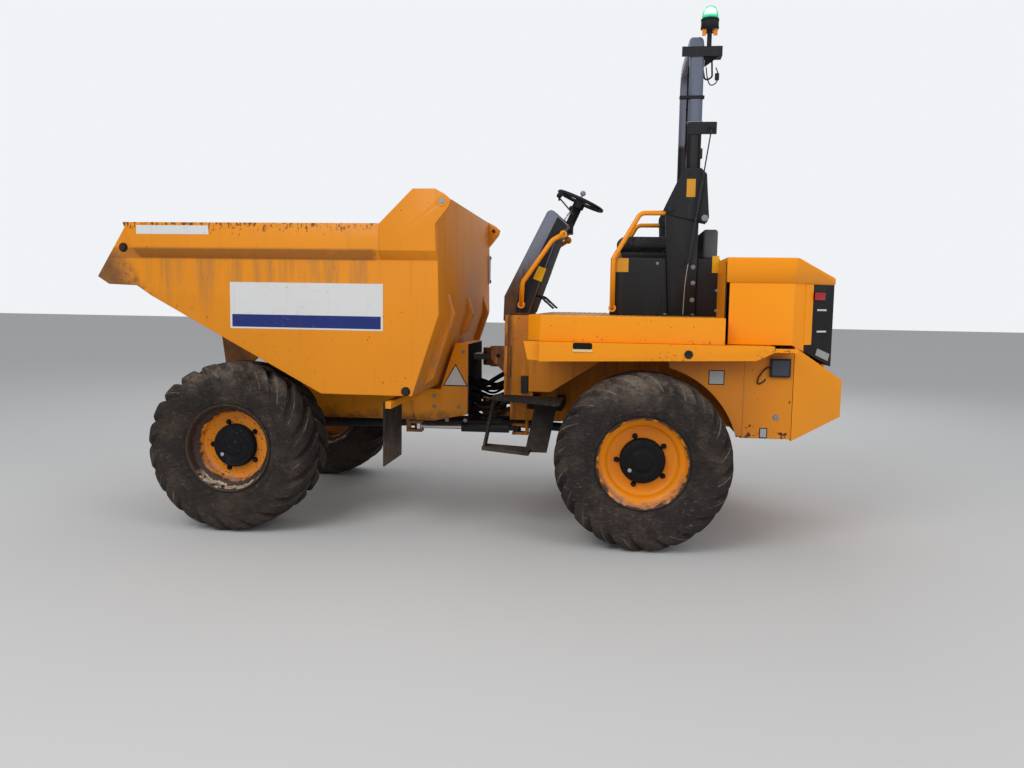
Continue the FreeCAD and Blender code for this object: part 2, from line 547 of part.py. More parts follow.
bulkhead_ear = prism_y([rear(p) for p in BULKHEAD_EAR], -BULKHEAD_HALF - 18, -BULKHEAD_HALF).cut(
    rod_y(rear(BULKHEAD_EAR_HOLE), 15, -BULKHEAD_HALF - 19, -BULKHEAD_HALF + 1))
yoke_parts = []
for tongue_z in (YOKE_UPPER_Z, YOKE_LOWER_Z):
    for plate_z in (tongue_z - YOKE_PLATE - YOKE_GAP, tongue_z + YOKE_PLATE + YOKE_GAP):
        yoke_parts.append(box(ARTIC_X, rear((BULKHEAD_FRONT + 30, 0))[0], -YOKE_RADIUS, YOKE_RADIUS,
                              plate_z, plate_z + YOKE_PLATE))
        yoke_parts.append(rod_z(ARTIC_X, 0, YOKE_RADIUS, plate_z, plate_z + YOKE_PLATE))
    yoke_parts.append(rod_z(ARTIC_X, 0, PIVOT_PIN_RADIUS, tongue_z - YOKE_PLATE - YOKE_GAP - 12,
                            tongue_z + 2 * YOKE_PLATE + YOKE_GAP + 12))
cross_mid = box(rear((300, 0))[0], rear((360, 0))[0], -CHASSIS_RAIL_Y, CHASSIS_RAIL_Y, 1180, CHASSIS_TOP - 10)
deck_bearers = [box(rear((x, 0))[0], rear((x + 60, 0))[0], -440, 440, CHASSIS_TOP - 12, PLATFORM_TOP - PLATE)
                for x in (-700, 320)]
engine_mounts = [box(rear((x, 0))[0], rear((x + 70, 0))[0], min(side * ENGINE_HALF, side * CHASSIS_RAIL_Y),
                     max(side * ENGINE_HALF, side * CHASSIS_RAIL_Y), ENGINE_BOTTOM - 14, ENGINE_BOTTOM + 35)
                 for x in (600, 870) for side in (-1, 1)]
cross_back = box(rear((WEIGHT_FRONT - 40, 0))[0], rear((WEIGHT_FRONT, 0))[0], -BODY_HALF + 30, BODY_HALF - 30,
                 CHASSIS_BOTTOM + 14, 1060)
pieces["rear_chassis"] = fuse([rear_plate, mirrored(rear_plate), bulkhead, bulkhead_low, bulkhead_ear,
                               mirrored(bulkhead_ear), cross_mid, cross_back]
                              + yoke_parts + deck_bearers + engine_mounts)

# Steering rams: one each side of the articulation, barrels on the rear frame, rods to the front chassis
STEER_BASE = (210.0, 240.0)      # behind the articulation, and out from the middle
STEER_EYE = (-550.0, 270.0)
STEER_Z = 640.0
STEER_BARREL_RADIUS = 36.0
STEER_ROD_RADIUS = 18.0
STEER_EYE_RADIUS = 30.0
STEER_EYE_HEIGHT = 40.0
STEER_PIN_RADIUS = 12.0
STEER_EAR_GAP = 3.0
STEER_EAR_THICKNESS = 20.0
STEER_EAR_REACH = 34.0
STEER_EAR_HALF = 40.0
STEER_WEB_REACH = 66.0
STEER_NECK_RADIUS = 19.0
STEER_BARREL_START = 62.0
STEER_BARREL_SHARE = 0.56        # of the ram's length at rest
STEER_PISTON = 240.0             # from the barrel's pin to the rod's inner end, at rest


def steering_ram(side):
    a = V(ARTIC_X + STEER_BASE[0], side * STEER_BASE[1], STEER_Z)
    b = V(ARTIC_X + STEER_EYE[0], side * STEER_EYE[1], STEER_Z)
    length = b.sub(a).Length
    unit = b.sub(a).normalize()
    along = lambda distance: a.add(V(unit).multiply(distance))
    low, high = STEER_Z - STEER_EYE_HEIGHT / 2, STEER_Z + STEER_EYE_HEIGHT / 2
    closed = length * STEER_BARREL_SHARE
    barrel = fuse([rod_z(a.x, a.y, STEER_EYE_RADIUS, low, high), rod(a, along(STEER_BARREL_START + 5), STEER_NECK_RADIUS),
                   rod(along(STEER_BARREL_START), along(closed), STEER_BARREL_RADIUS)])
    barrel = barrel.cut(rod_z(a.x, a.y, STEER_PIN_RADIUS + 0.05, low - 1, high + 1))
    barrel = barrel.cut(rod(along(STEER_BARREL_START + 25), along(closed + 1), STEER_ROD_RADIUS + 0.05))
    ram_rod = fuse([rod(along(STEER_PISTON), along(length - 12), STEER_ROD_RADIUS),
                    rod_z(b.x, b.y, STEER_EYE_RADIUS, low, high)])
    return barrel, ram_rod


def steering_ears(place, side, toward, top_z):
    """Clevis around a steering ram's eye: an ear above and below it, and a web that hangs from the frame."""
    x, y = ARTIC_X + place[0], side * place[1]
    gap = STEER_EYE_HEIGHT / 2 + STEER_EAR_GAP
    web_far = x + toward * (STEER_WEB_REACH + STEER_EAR_THICKNESS)
    x0, x1 = sorted((x - toward * STEER_EAR_REACH, web_far))
    w0, w1 = sorted((x + toward * STEER_WEB_REACH, web_far))
    low = STEER_Z - gap - STEER_EAR_THICKNESS
    return fuse([box(x0, x1, y - STEER_EAR_HALF, y + STEER_EAR_HALF, low, STEER_Z - gap),
                 box(x0, x1, y - STEER_EAR_HALF, y + STEER_EAR_HALF, STEER_Z + gap, STEER_Z + gap + STEER_EAR_THICKNESS),
                 box(w0, w1, y - STEER_EAR_HALF, y + STEER_EAR_HALF, low, top_z)])


for side_name, side in SIDES:
    barrel, ram_rod = steering_ram(side)
    pieces[f"steer_ram_barrel_{side_name}"] = barrel
    pieces[f"steer_ram_rod_{side_name}"] = ram_rod
    front_ears = steering_ears(STEER_EYE, side, -1, RAIL_BOTTOM + 12)
    rear_ears = steering_ears(STEER_BASE, side, 1, CHASSIS_BOTTOM + 12)
    base_pin = rod_z(ARTIC_X + STEER_BASE[0], side * STEER_BASE[1], STEER_PIN_RADIUS,
                     STEER_Z - STEER_EYE_HEIGHT / 2 - 12, STEER_Z + STEER_EYE_HEIGHT / 2 + 12)
    pieces["front_chassis"] = fuse([pieces["front_chassis"], front_ears])
    pieces["rear_chassis"] = fuse([pieces["rear_chassis"], rear_ears, base_pin])

# Counterweight: a heavy casting with slanted corners, and a box on each side ahead of it
weight_plan = [rear(p) for p in (
    (WEIGHT_FRONT, -BODY_HALF), (TAIL_X - 30, -TAIL_HALF - 20), (TAIL_X, -TAIL_HALF), (TAIL_X, TAIL_HALF),
    (TAIL_X - 30, TAIL_HALF + 20), (WEIGHT_FRONT, BODY_HALF))]
weight_side = [rear(p) for p in (
    (WEIGHT_FRONT, WEIGHT_BOTTOM), (TAIL_X, TAIL_BOTTOM), (TAIL_X, TAIL_TOP), (WEIGHT_FRONT, WEIGHT_TOP))]
weight = prism_z(weight_plan, 500, 1500).common(prism_y(weight_side, -BODY_HALF, BODY_HALF))
engine_bay = box(rear((WEIGHT_FRONT - 1, 0))[0], rear((ENGINE_BACK + 70, 0))[0], -430, 430, 1000, 1500)
pieces["counterweight"] = weight.cut(engine_bay)
side_box = box(rear((625, 0))[0], rear((WEIGHT_FRONT - 41, 0))[0], -BODY_HALF, -CHASSIS_RAIL_Y, CHASSIS_BOTTOM + 14, 1296)
pieces["side_boxes"] = both_sides(side_box)

# Engine and transmission: one plain block each, with the shafts to both axles
pieces["engine_block"] = box(rear((ENGINE_FRONT, 0))[0], rear((ENGINE_BACK, 0))[0], -ENGINE_HALF, ENGINE_HALF,
                             ENGINE_BOTTOM, ENGINE_TOP)
pieces["transmission"] = fuse([
    box(rear((-330, 0))[0], rear((280, 0))[0], -230, 230, 800, 1170),
    box(rear((-60, 0))[0], rear((290, 0))[0], -CHASSIS_RAIL_Y + CHASSIS_RAIL_THICKNESS, CHASSIS_RAIL_Y - CHASSIS_RAIL_THICKNESS, 1000, 1080)])
SHAFT_RADIUS = 34.0
SHAFT_Z = 655.0
shaft_dip = AXLE_Z + 20
front_shaft = rod(V(FRONT_AXLE_X + AXLE_BULB_RADIUS - 20, 0, shaft_dip), V(ARTIC_X - 60, 0, SHAFT_Z), SHAFT_RADIUS)
pieces["front_prop_shaft"] = front_shaft.cut(pieces["front_axle"])
rear_shaft = rod(V(ARTIC_X + 60, 0, SHAFT_Z), V(REAR_AXLE_X - AXLE_BULB_RADIUS + 20, 0, shaft_dip), SHAFT_RADIUS)
pieces["rear_prop_shaft"] = rear_shaft.cut(pieces["rear_axle"])

# Platform: the deck with its skirts
skirt_low = PLATFORM_TOP - PLATFORM_SKIRT
platform_plan = [rear(p) for p in (
    (PLATFORM_FRONT + PLATFORM_CORNER, -PLATFORM_HALF), (PLATFORM_BACK, -PLATFORM_HALF), (PLATFORM_BACK, PLATFORM_HALF),
    (PLATFORM_FRONT + PLATFORM_CORNER, PLATFORM_HALF), (PLATFORM_FRONT, PLATFORM_HALF - PLATFORM_CORNER),
    (PLATFORM_FRONT, -PLATFORM_HALF + PLATFORM_CORNER))]
inner_plan = [rear(p) for p in (
    (PLATFORM_FRONT + PLATFORM_CORNER + 6, -PLATFORM_HALF + PLATE), (PLATFORM_BACK - PLATE, -PLATFORM_HALF + PLATE),
    (PLATFORM_BACK - PLATE, PLATFORM_HALF - PLATE), (PLATFORM_FRONT + PLATFORM_CORNER + 6, PLATFORM_HALF - PLATE),
    (PLATFORM_FRONT + PLATE, PLATFORM_HALF - PLATFORM_CORNER - 6), (PLATFORM_FRONT + PLATE, -PLATFORM_HALF + PLATFORM_CORNER + 6))]
platform = prism_z(platform_plan, skirt_low, PLATFORM_TOP).cut(prism_z(inner_plan, skirt_low - 1, PLATFORM_TOP - PLATE))
pieces["platform"] = platform.cut(pieces["rear_chassis"])

# Fenders: a flat top over each rear tyre with a down-turned edge
fender_top = skirt_low
fender_plate = box(rear((PLATFORM_FRONT + PLATFORM_CORNER, 0))[0], rear((800, 0))[0], -FENDER_HALF, -CHASSIS_RAIL_Y - 120,
                   fender_top - PLATE, fender_top)
edge_outline = [rear(p) for p in (
    (PLATFORM_FRONT + PLATFORM_CORNER, fender_top - PLATE), (PLATFORM_FRONT + PLATFORM_CORNER, FENDER_LOW_Z),
    (690, FENDER_LOW_Z + 36), (800, fender_top - 38), (WEIGHT_FRONT - 12, fender_top - 38), (WEIGHT_FRONT - 12, fender_top - PLATE))]
fender_edge = prism_y(edge_outline, -FENDER_HALF, -FENDER_HALF + 14)
fender_tail = box(rear((799, 0))[0], rear((WEIGHT_FRONT - 12, 0))[0], -FENDER_HALF, -BODY_HALF, fender_top - 38, fender_top - 26)
pieces["fenders"] = both_sides(fuse([fender_plate, fender_edge, fender_tail]))

# Bonnet: sides, slanted rear corners and the lid, hollow, open below and in front
bonnet_plan = [rear(p) for p in (
    (BONNET_FRONT, -BODY_HALF), (BONNET_CORNER, -BODY_HALF), (BONNET_TAIL, -BONNET_TAIL_HALF),
    (BONNET_TAIL, BONNET_TAIL_HALF), (BONNET_CORNER, BODY_HALF), (BONNET_FRONT, BODY_HALF))]
bonnet_side = [rear(p) for p in (
    (BONNET_FRONT, BONNET_BOTTOM + 4), (BONNET_CORNER, BONNET_BOTTOM + 4), (BONNET_TAIL, 1200), (BONNET_TAIL, BONNET_TAIL_Z),
    (BONNET_SLOPE_X, BONNET_TOP), (BONNET_FRONT, BONNET_TOP))]
bonnet_full = prism_z(bonnet_plan, 1100, 2000).common(prism_y(bonnet_side, -BODY_HALF, BODY_HALF))
w = BONNET_WALL
inner_bonnet_plan = [rear(p) for p in (
    (BONNET_FRONT - 20, -BODY_HALF + w), (BONNET_CORNER - 3, -BODY_HALF + w), (BONNET_TAIL - w, -BONNET_TAIL_HALF + 4),
    (BONNET_TAIL - w, BONNET_TAIL_HALF - 4), (BONNET_CORNER - 3, BODY_HALF - w), (BONNET_FRONT - 20, BODY_HALF - w))]
inner_bonnet_side = [rear(p) for p in (
    (BONNET_FRONT - 20, 1100), (BONNET_TAIL, 1100), (BONNET_TAIL, BONNET_TAIL_Z - w),
    (BONNET_SLOPE_X, BONNET_TOP - w), (BONNET_FRONT - 20, BONNET_TOP - w))]
bonnet_core = prism_z(inner_bonnet_plan, 1100, 2000).common(prism_y(inner_bonnet_side, -BODY_HALF, BODY_HALF))
bonnet_shell = bonnet_full.cut(bonnet_core)
GRILLE_TOP = 1742.0
GRILLE_START_X = BONNET_CORNER + 87
grille_zone = box(rear((GRILLE_START_X, 0))[0], rear((BONNET_TAIL + 50, 0))[0], -BODY_HALF, BODY_HALF, 1100, GRILLE_TOP)
pieces["bonnet_shell"] = bonnet_shell.cut(grille_zone)
GRILLE_SLATS = 8
GRILLE_PITCH = 56.0
GRILLE_GROOVE = 30.0
GRILLE_HALF = 610.0
GRILLE_MULLION = 24.0
grille = bonnet_shell.common(grille_zone)
for row in range(GRILLE_SLATS):
    groove_z = GRILLE_TOP - 60 - row * GRILLE_PITCH
    for side in (-1, 1):
        y0, y1 = sorted((side * GRILLE_MULLION, side * GRILLE_HALF))
        grille = grille.cut(box(rear((BONNET_TAIL - 5, 0))[0], rear((BONNET_TAIL + 5, 0))[0], y0, y1,
                                groove_z - GRILLE_GROOVE, groove_z))

# Bonnet hinges: a knuckle under the grille turns on a pin between two lugs of the counterweight, on each side
HINGE_PIN_RADIUS = 6.0
HINGE_KNUCKLE_RADIUS = 11.0
HINGE_Y = (430.0, 490.0)         # ends of the knuckle
HINGE_LUG = 8.0
HINGE_GAP = 2.0
hinge_x, hinge_z = rear(BONNET_HINGE)
hinge_pin = rod_y((hinge_x, hinge_z), HINGE_PIN_RADIUS, HINGE_Y[0] - HINGE_GAP - HINGE_LUG, HINGE_Y[1] + HINGE_GAP + HINGE_LUG)
hinge_lugs = [box(hinge_x - HINGE_KNUCKLE_RADIUS, hinge_x + HINGE_KNUCKLE_RADIUS, y, y + HINGE_LUG, hinge_z - 50,
                  hinge_z + HINGE_KNUCKLE_RADIUS)
              for y in (HINGE_Y[0] - HINGE_GAP - HINGE_LUG, HINGE_Y[1] + HINGE_GAP)]
hinge_fixed = fuse([hinge_pin] + hinge_lugs)
knuckle = rod_y((hinge_x, hinge_z), HINGE_KNUCKLE_RADIUS, *HINGE_Y)
hinge_bore = rod_y((hinge_x, hinge_z), HINGE_PIN_RADIUS + RUNNING, HINGE_Y[0] - 1, HINGE_Y[1] + 1)
grille_room = box(hinge_x - 30, hinge_x + 30, HINGE_Y[0] - 14, HINGE_Y[1] + 14, hinge_z - 30, hinge_z + HINGE_KNUCKLE_RADIUS + 6)
side_room = grille_room.cut(box(hinge_x - 31, hinge_x + 31, HINGE_Y[0], HINGE_Y[1], hinge_z - 31, hinge_z + 40))
for cut in (side_room, mirrored(side_room)):
    grille = grille.cut(cut)
grille = fuse([grille, knuckle, mirrored(knuckle)]).cut(hinge_bore).cut(mirrored(hinge_bore))
pieces["bonnet_grille"] = grille
pieces["counterweight"] = fuse([pieces["counterweight"], hinge_fixed, mirrored(hinge_fixed)])

# Seat box with the black side panels, and the cowl behind the seat
COWL_HEIGHT = 210.0
pieces["seat_box"] = box(rear((SEAT_BOX_FRONT, 0))[0], rear((SEAT_BOX_BACK, 0))[0], -SEAT_BOX_HALF, SEAT_BOX_HALF,
                         PLATFORM_TOP, SEAT_BOX_TOP).cut(
    box(rear((ENGINE_FRONT - 72, 0))[0], rear((SEAT_BOX_BACK + 5, 0))[0], -ENGINE_HALF - 15, ENGINE_HALF + 15,
        PLATFORM_TOP - 1, ENGINE_TOP + 20))
pieces["rear_cowl"] = box(rear((400, 0))[0], rear((505, 0))[0], -390, 390, SEAT_BOX_TOP, SEAT_BOX_TOP + COWL_HEIGHT)
SEAT_HALF = 240.0
SEAT_BASE_TOP = SEAT_BOX_TOP + 63
CUSHION_TOP = SEAT_BASE_TOP + 100
SEAT_BACK_TOP = CUSHION_TOP + 475
pieces["seat_base"] = box(rear((-170, 0))[0], rear((250, 0))[0], -200, 200, SEAT_BOX_TOP, SEAT_BASE_TOP)
pieces["seat_cushion"] = box(rear((-230, 0))[0], rear((270, 0))[0], -SEAT_HALF, SEAT_HALF, SEAT_BASE_TOP + 0.3, CUSHION_TOP)
pieces["seat_back"] = prism_y([rear(p) for p in ((180, CUSHION_TOP + 0.6), (282, CUSHION_TOP + 0.6), (380, SEAT_BACK_TOP), (300, SEAT_BACK_TOP))], -SEAT_HALF, SEAT_HALF)

# Console: a slim cowl that leans back towards the seat, with the column and steering wheel on it
CONSOLE_HALF = 280.0
console_outline = [rear(p) for p in (
    (-1035, PLATFORM_TOP - 60), (-1030, 1640), (-735, 2225), (-690, 2228), (-600, 2150), (-640, 2085), (-860, PLATFORM_TOP - 60))]
console = prism_y(console_outline, -CONSOLE_HALF, CONSOLE_HALF)
pieces["console"] = console.cut(pieces["rear_chassis"]).cut(platform)
wheel_axis = V(math.sin(math.radians(WHEEL_TILT)), 0, math.cos(math.radians(WHEEL_TILT)))
wheel_centre = V(rear(WHEEL_CENTRE)[0], 0, WHEEL_CENTRE[1])
column_top = wheel_centre.sub(V(wheel_axis).multiply(60))
column_foot = wheel_centre.sub(V(wheel_axis).multiply(230))
shaft_top = wheel_centre.sub(V(wheel_axis).multiply(25))
pieces["steering_column"] = fuse([rod(column_foot, column_top, 34), rod(column_top, shaft_top, 12),
                                  Part.makeBox(150, 120, 90, V(column_foot.x - 110, -60, column_foot.z - 40))]).cut(console)
wheel_ring = Part.makeTorus(WHEEL_RADIUS - WHEEL_TUBE, WHEEL_TUBE, wheel_centre, wheel_axis)
hub_disc = Part.makeCylinder(44, 58.5, wheel_centre.sub(V(wheel_axis).multiply(58.5)), wheel_axis)
spokes = []
for angle in (90, 210, 330):
    spoke = Part.makeBox(WHEEL_RADIUS - WHEEL_TUBE, 26, 8, V(0, -13, -16))
    spoke.rotate(V(0, 0, 0), V(0, 0, 1), angle)
    spoke.rotate(V(0, 0, 0), V(0, 1, 0), WHEEL_TILT)
    spoke.translate(wheel_centre)
    spokes.append(spoke)
column_bore = rod(column_top, wheel_centre.sub(V(wheel_axis).multiply(23)), 12 + RUNNING)
pieces["steering_wheel"] = fuse([wheel_ring, hub_disc] + spokes).cut(column_bore)

# Rollover frame: fixed posts with clevis plates, and the hoop that folds forward on its pins
leg_in = HOOP_HALF - HOOP_TUBE / 2
leg_out = HOOP_HALF + HOOP_TUBE / 2
post_outline = [rear(p) for p in (
    (168, PLATFORM_TOP), (352, PLATFORM_TOP), (357, HOOP_SPLIT_Z - 8), (HOOP_PIVOT[0] + 44, HOOP_SPLIT_Z - 8),
    (HOOP_PIVOT[0] + 30, HOOP_SPLIT_Z + 22), (HOOP_PIVOT[0] - 26, HOOP_SPLIT_Z + 22), (HOOP_PIVOT[0] - 30, HOOP_SPLIT_Z - 60))]
post = prism_y(post_outline, -leg_out, -leg_in)
post_pin = rod_y(rear(HOOP_PIVOT), HOOP_PIN_RADIUS, -leg_out - 14, -leg_in + 14)
lower_side = fuse([post, post_pin])
ball_stub = rod(V(rear(STRUT_BALL)[0], -leg_out, STRUT_BALL[1]), V(rear(STRUT_BALL)[0], -leg_out - 16, STRUT_BALL[1]), 9)
seat_box = pieces["seat_box"].cut(lower_side).cut(mirrored(lower_side))
pieces["seat_box"] = seat_box
cowl = pieces["rear_cowl"].cut(lower_side).cut(mirrored(lower_side))
pieces["rear_cowl"] = cowl
post_tie = box(rear((330, 0))[0], rear((352, 0))[0], -leg_in, leg_in, 2040, 2130)
pieces["rops_posts"] = fuse([lower_side, mirrored(lower_side), post_tie, ball_stub, mirrored(ball_stub)])
def square_section(x, y, z, size, corner):
    """Outline of a square tube with rounded corners, level, at a height."""
    half, flat = size / 2, size / 2 - corner
    diagonal = flat + corner * math.sqrt(0.5)
    edges = []
    for turn in range(4):
        c, n = math.cos(turn * math.pi / 2), math.sin(turn * math.pi / 2)
        at = lambda u, v: V(x + u * c - v * n, y + u * n + v * c, z)
        edges.append(Part.LineSegment(at(half, -flat), at(half, flat)).toShape())
        edges.append(Part.Arc(at(half, flat), at(diagonal, diagonal), at(flat, half)).toShape())
    return Part.Wire(edges)


hoop_x = rear((HOOP_LEG_X, 0))[0]
hoop_middle_z = HOOP_TOP_Z - HOOP_TUBE / 2
hoop_path = [V(hoop_x, -HOOP_HALF, HOOP_SPLIT_Z), V(hoop_x, -HOOP_HALF, hoop_middle_z),
             V(hoop_x, HOOP_HALF, hoop_middle_z), V(hoop_x, HOOP_HALF, HOOP_SPLIT_Z)]
hoop_tube = bent_section(hoop_path, square_section(hoop_x, -HOOP_HALF, HOOP_SPLIT_Z, HOOP_TUBE, HOOP_CORNER), HOOP_BEND)
CHEEK_TOP = HOOP_PIVOT[1] + 278
cheek_outline = [rear(p) for p in (
    (HOOP_PIVOT[0] - 32, HOOP_PIVOT[1] - 30), (HOOP_PIVOT[0] + 30, HOOP_PIVOT[1] - 50), (HOOP_LEG_X + 103, HOOP_PIVOT[1] - 96),
    (HOOP_LEG_X + 118, HOOP_PIVOT[1] - 60), (HOOP_LEG_X + 93, CHEEK_TOP - 40), (HOOP_LEG_X + 53, CHEEK_TOP),
    (HOOP_LEG_X - 57, CHEEK_TOP), (HOOP_LEG_X - 97, CHEEK_TOP - 70), (HOOP_PIVOT[0] - 34, HOOP_PIVOT[1] + 26))]
cheek = prism_y(cheek_outline, -leg_out - 12, -leg_out - 2).cut(
    rod_y(rear(HOOP_PIVOT), HOOP_PIN_RADIUS + 0.05, -leg_out - 13, -leg_out - 1))
pad_outline = [rear(p) for p in (
    (HOOP_LEG_X - 40, HOOP_SPLIT_Z + 28), (HOOP_LEG_X + 40, HOOP_SPLIT_Z + 28),
    (HOOP_LEG_X + 40, HOOP_SPLIT_Z + 238), (HOOP_LEG_X - 40, HOOP_SPLIT_Z + 238))]
cheek_pad = prism_y(pad_outline, -leg_out - 2.5, -leg_out)
inner_cheek = prism_y(cheek_outline, -leg_in + 2, -leg_in + 12).cut(
    rod_y(rear(HOOP_PIVOT), HOOP_PIN_RADIUS + 0.05, -leg_in + 1, -leg_in + 13))
inner_pad = prism_y(pad_outline, -leg_in, -leg_in + 2.5)
strut_bracket = box(rear((HOOP_LEG_X, 0))[0], rear((STRUT_HEAD[0] + 37, 0))[0], -leg_out - 4, -leg_out + 8,
                    STRUT_HEAD[1] - 42, STRUT_HEAD[1] + 38)
strut_stub = rod(V(rear(STRUT_HEAD)[0], -leg_out - 3, STRUT_HEAD[1]), V(rear(STRUT_HEAD)[0], -leg_out - 20, STRUT_HEAD[1]), 9)
hoop_side = fuse([cheek, cheek_pad, inner_cheek, inner_pad, strut_bracket, strut_stub])
pieces["rops_hoop"] = fuse([hoop_tube, hoop_side, mirrored(hoop_side)])

# Gas struts beside the hoop, and the beacon bracket on its top
strut_y = leg_out + 36
strut_a = V(rear(STRUT_BALL)[0], -strut_y, STRUT_BALL[1])
strut_b = V(rear(STRUT_HEAD)[0], -strut_y, STRUT_HEAD[1])
strut_unit = strut_b.sub(strut_a).normalize()
strut_length = strut_b.sub(strut_a).Length
strut = fuse([rod(strut_a, strut_b, 7), rod(strut_a, strut_a.add(V(strut_unit).multiply(strut_length * 0.6)), 13),
              rod_y((strut_a.x, strut_a.z), 16, -strut_y - 14, -strut_y + 19.7),
              rod_y((strut_b.x, strut_b.z), 16, -strut_y - 14, -strut_y + 15.7)])
pieces["gas_struts"] = both_sides(strut)

# Beacon on a shelf behind the hoop's left leg, held by a clamp plate, with its cable looped below the shelf
BEACON_X = 387.0
BEACON_RADIUS = 46.0
BEACON_BASE_RADIUS = 60.0
BEACON_STEM_RADIUS = 16.0
BASE_BOTTOM = HOOP_TOP_Z + 22
LENS_BOTTOM = BASE_BOTTOM + 66
BEACON_TOP = LENS_BOTTOM + 90
SHELF_Z = HOOP_TOP_Z - 171
SHELF_THICKNESS = 14.0
CLAMP_HEIGHT = 66.0
CLAMP_FRONT = HOOP_LEG_X - HOOP_TUBE / 2 - 57
CLAMP_BACK = HOOP_LEG_X + HOOP_TUBE / 2 + 118
CABLE_RADIUS = 6.0
CABLE_BEND = 20.0
CLIP_DROPS = (90.0, 330.0, 570.0)    # below the shelf
beacon_y = -HOOP_HALF
beacon_x = rear((BEACON_X, 0))[0]
hoop_back = rear((HOOP_LEG_X + HOOP_TUBE / 2, 0))[0]
hoop_front = hoop_back - HOOP_TUBE
shelf = box(hoop_back, rear((CLAMP_BACK, 0))[0], -leg_out, beacon_y + 45, SHELF_Z, SHELF_Z + SHELF_THICKNESS)
clamp = box(rear((CLAMP_FRONT, 0))[0], rear((CLAMP_BACK, 0))[0], -leg_out - 8, -leg_out, SHELF_Z, SHELF_Z + CLAMP_HEIGHT)
gusset = prism_y([(hoop_back, SHELF_Z), (rear((CLAMP_BACK, 0))[0] - 20, SHELF_Z), (hoop_back, SHELF_Z - 70)],
                 beacon_y - 45, beacon_y - 37)
stem = rod_z(beacon_x, beacon_y, BEACON_STEM_RADIUS, SHELF_Z + SHELF_THICKNESS, BASE_BOTTOM)
base = rod_z(beacon_x, beacon_y, BEACON_BASE_RADIUS, BASE_BOTTOM, LENS_BOTTOM)
pieces["beacon_mast"] = fuse([shelf, clamp, gusset, stem, base])
dome_z = BEACON_TOP - BEACON_RADIUS
pieces["beacon_lens"] = fuse([rod_z(beacon_x, beacon_y, BEACON_RADIUS, LENS_BOTTOM, dome_z),
                              Part.makeSphere(BEACON_RADIUS, V(beacon_x, beacon_y, dome_z))]).cut(base)
cable_y = beacon_y + 20
loop = bent_tube([V(beacon_x + 24, cable_y, SHELF_Z), V(beacon_x + 30, cable_y, SHELF_Z - 120), V(beacon_x - 18, cable_y, SHELF_Z - 150),
                  V(hoop_back - 4, cable_y, SHELF_Z - 60)], CABLE_RADIUS, CABLE_BEND)
run_x = hoop_front - CABLE_RADIUS
run = bent_tube([V(hoop_front + 5, cable_y, SHELF_Z - 40), V(run_x, cable_y, SHELF_Z - 60), V(run_x, cable_y, SHELF_Z - 640),
                 V(hoop_front + 5, cable_y, SHELF_Z - 664)], CABLE_RADIUS, CABLE_BEND / 2)
clips = [box(hoop_front - 2 * CABLE_RADIUS - 2, hoop_front, cable_y - 12, cable_y + 12, SHELF_Z - drop - 14, SHELF_Z - drop)
         for drop in CLIP_DROPS]
pieces["beacon_cable"] = Part.makeCompound([
    loop.cut(pieces["rops_hoop"]).cut(pieces["beacon_mast"]), fuse([run] + clips).cut(pieces["rops_hoop"])])

# Grab rails: by the console and by the seat, on both sides
RAIL_BEND = 55.0
RAIL_FOOT_RADIUS = 27.0          # flattened and bolted end of a rail
CONSOLE_RAIL = ((-898, 310, 1578), (-886, 348, 1742), (-672, 348, 2052), (-596, 310, 2098))
SEAT_RAIL = ((-226, 500, 1566), (-226, 500, 1915), (-44, 478, 2235), (134, 478, 2235))


def grab_rail(points, feet, side_y):
    """Left-hand rail; each foot is a disc from the rail's plane in to the panel that carries it."""
    tube = bent_tube([V(rear((x, 0))[0], -y, z) for x, y, z in points], RAIL_TUBE_RADIUS, RAIL_BEND)
    discs = [rod_y(rear((points[i][0], points[i][2])), RAIL_FOOT_RADIUS, -points[i][1] - 12, -side_y) for i in feet]
    return fuse([tube] + discs)


pieces["grab_rails"] = both_sides(Part.makeCompound([
    grab_rail(CONSOLE_RAIL, (0, 3), CONSOLE_HALF),
    grab_rail(SEAT_RAIL, (0,), SEAT_BOX_HALF).cut(pieces["rops_posts"])]))

# Steps up to the platform: two muddy treads, a leaning hanger ahead of them and a wide leaning plate behind
TREAD_Z = 940.0
TREAD_THICKNESS = 25.0
LOW_TREAD_Z = 585.0
STEP_LEAN = 70.0                 # how far the hangers lean forward, from the upper tread to the lower one
TREAD_PLAN = ((-1036, -800), (-560, -1044), (-545, -1030), (-540, -700), (-1036, -620))
LOW_TREAD_PLAN = ((-1106, -790), (-760, -950), (-760, -735), (-1106, -640))
STEP_ARMS = ((-800, -700), (-610, -760))    # front of the arm, outer end


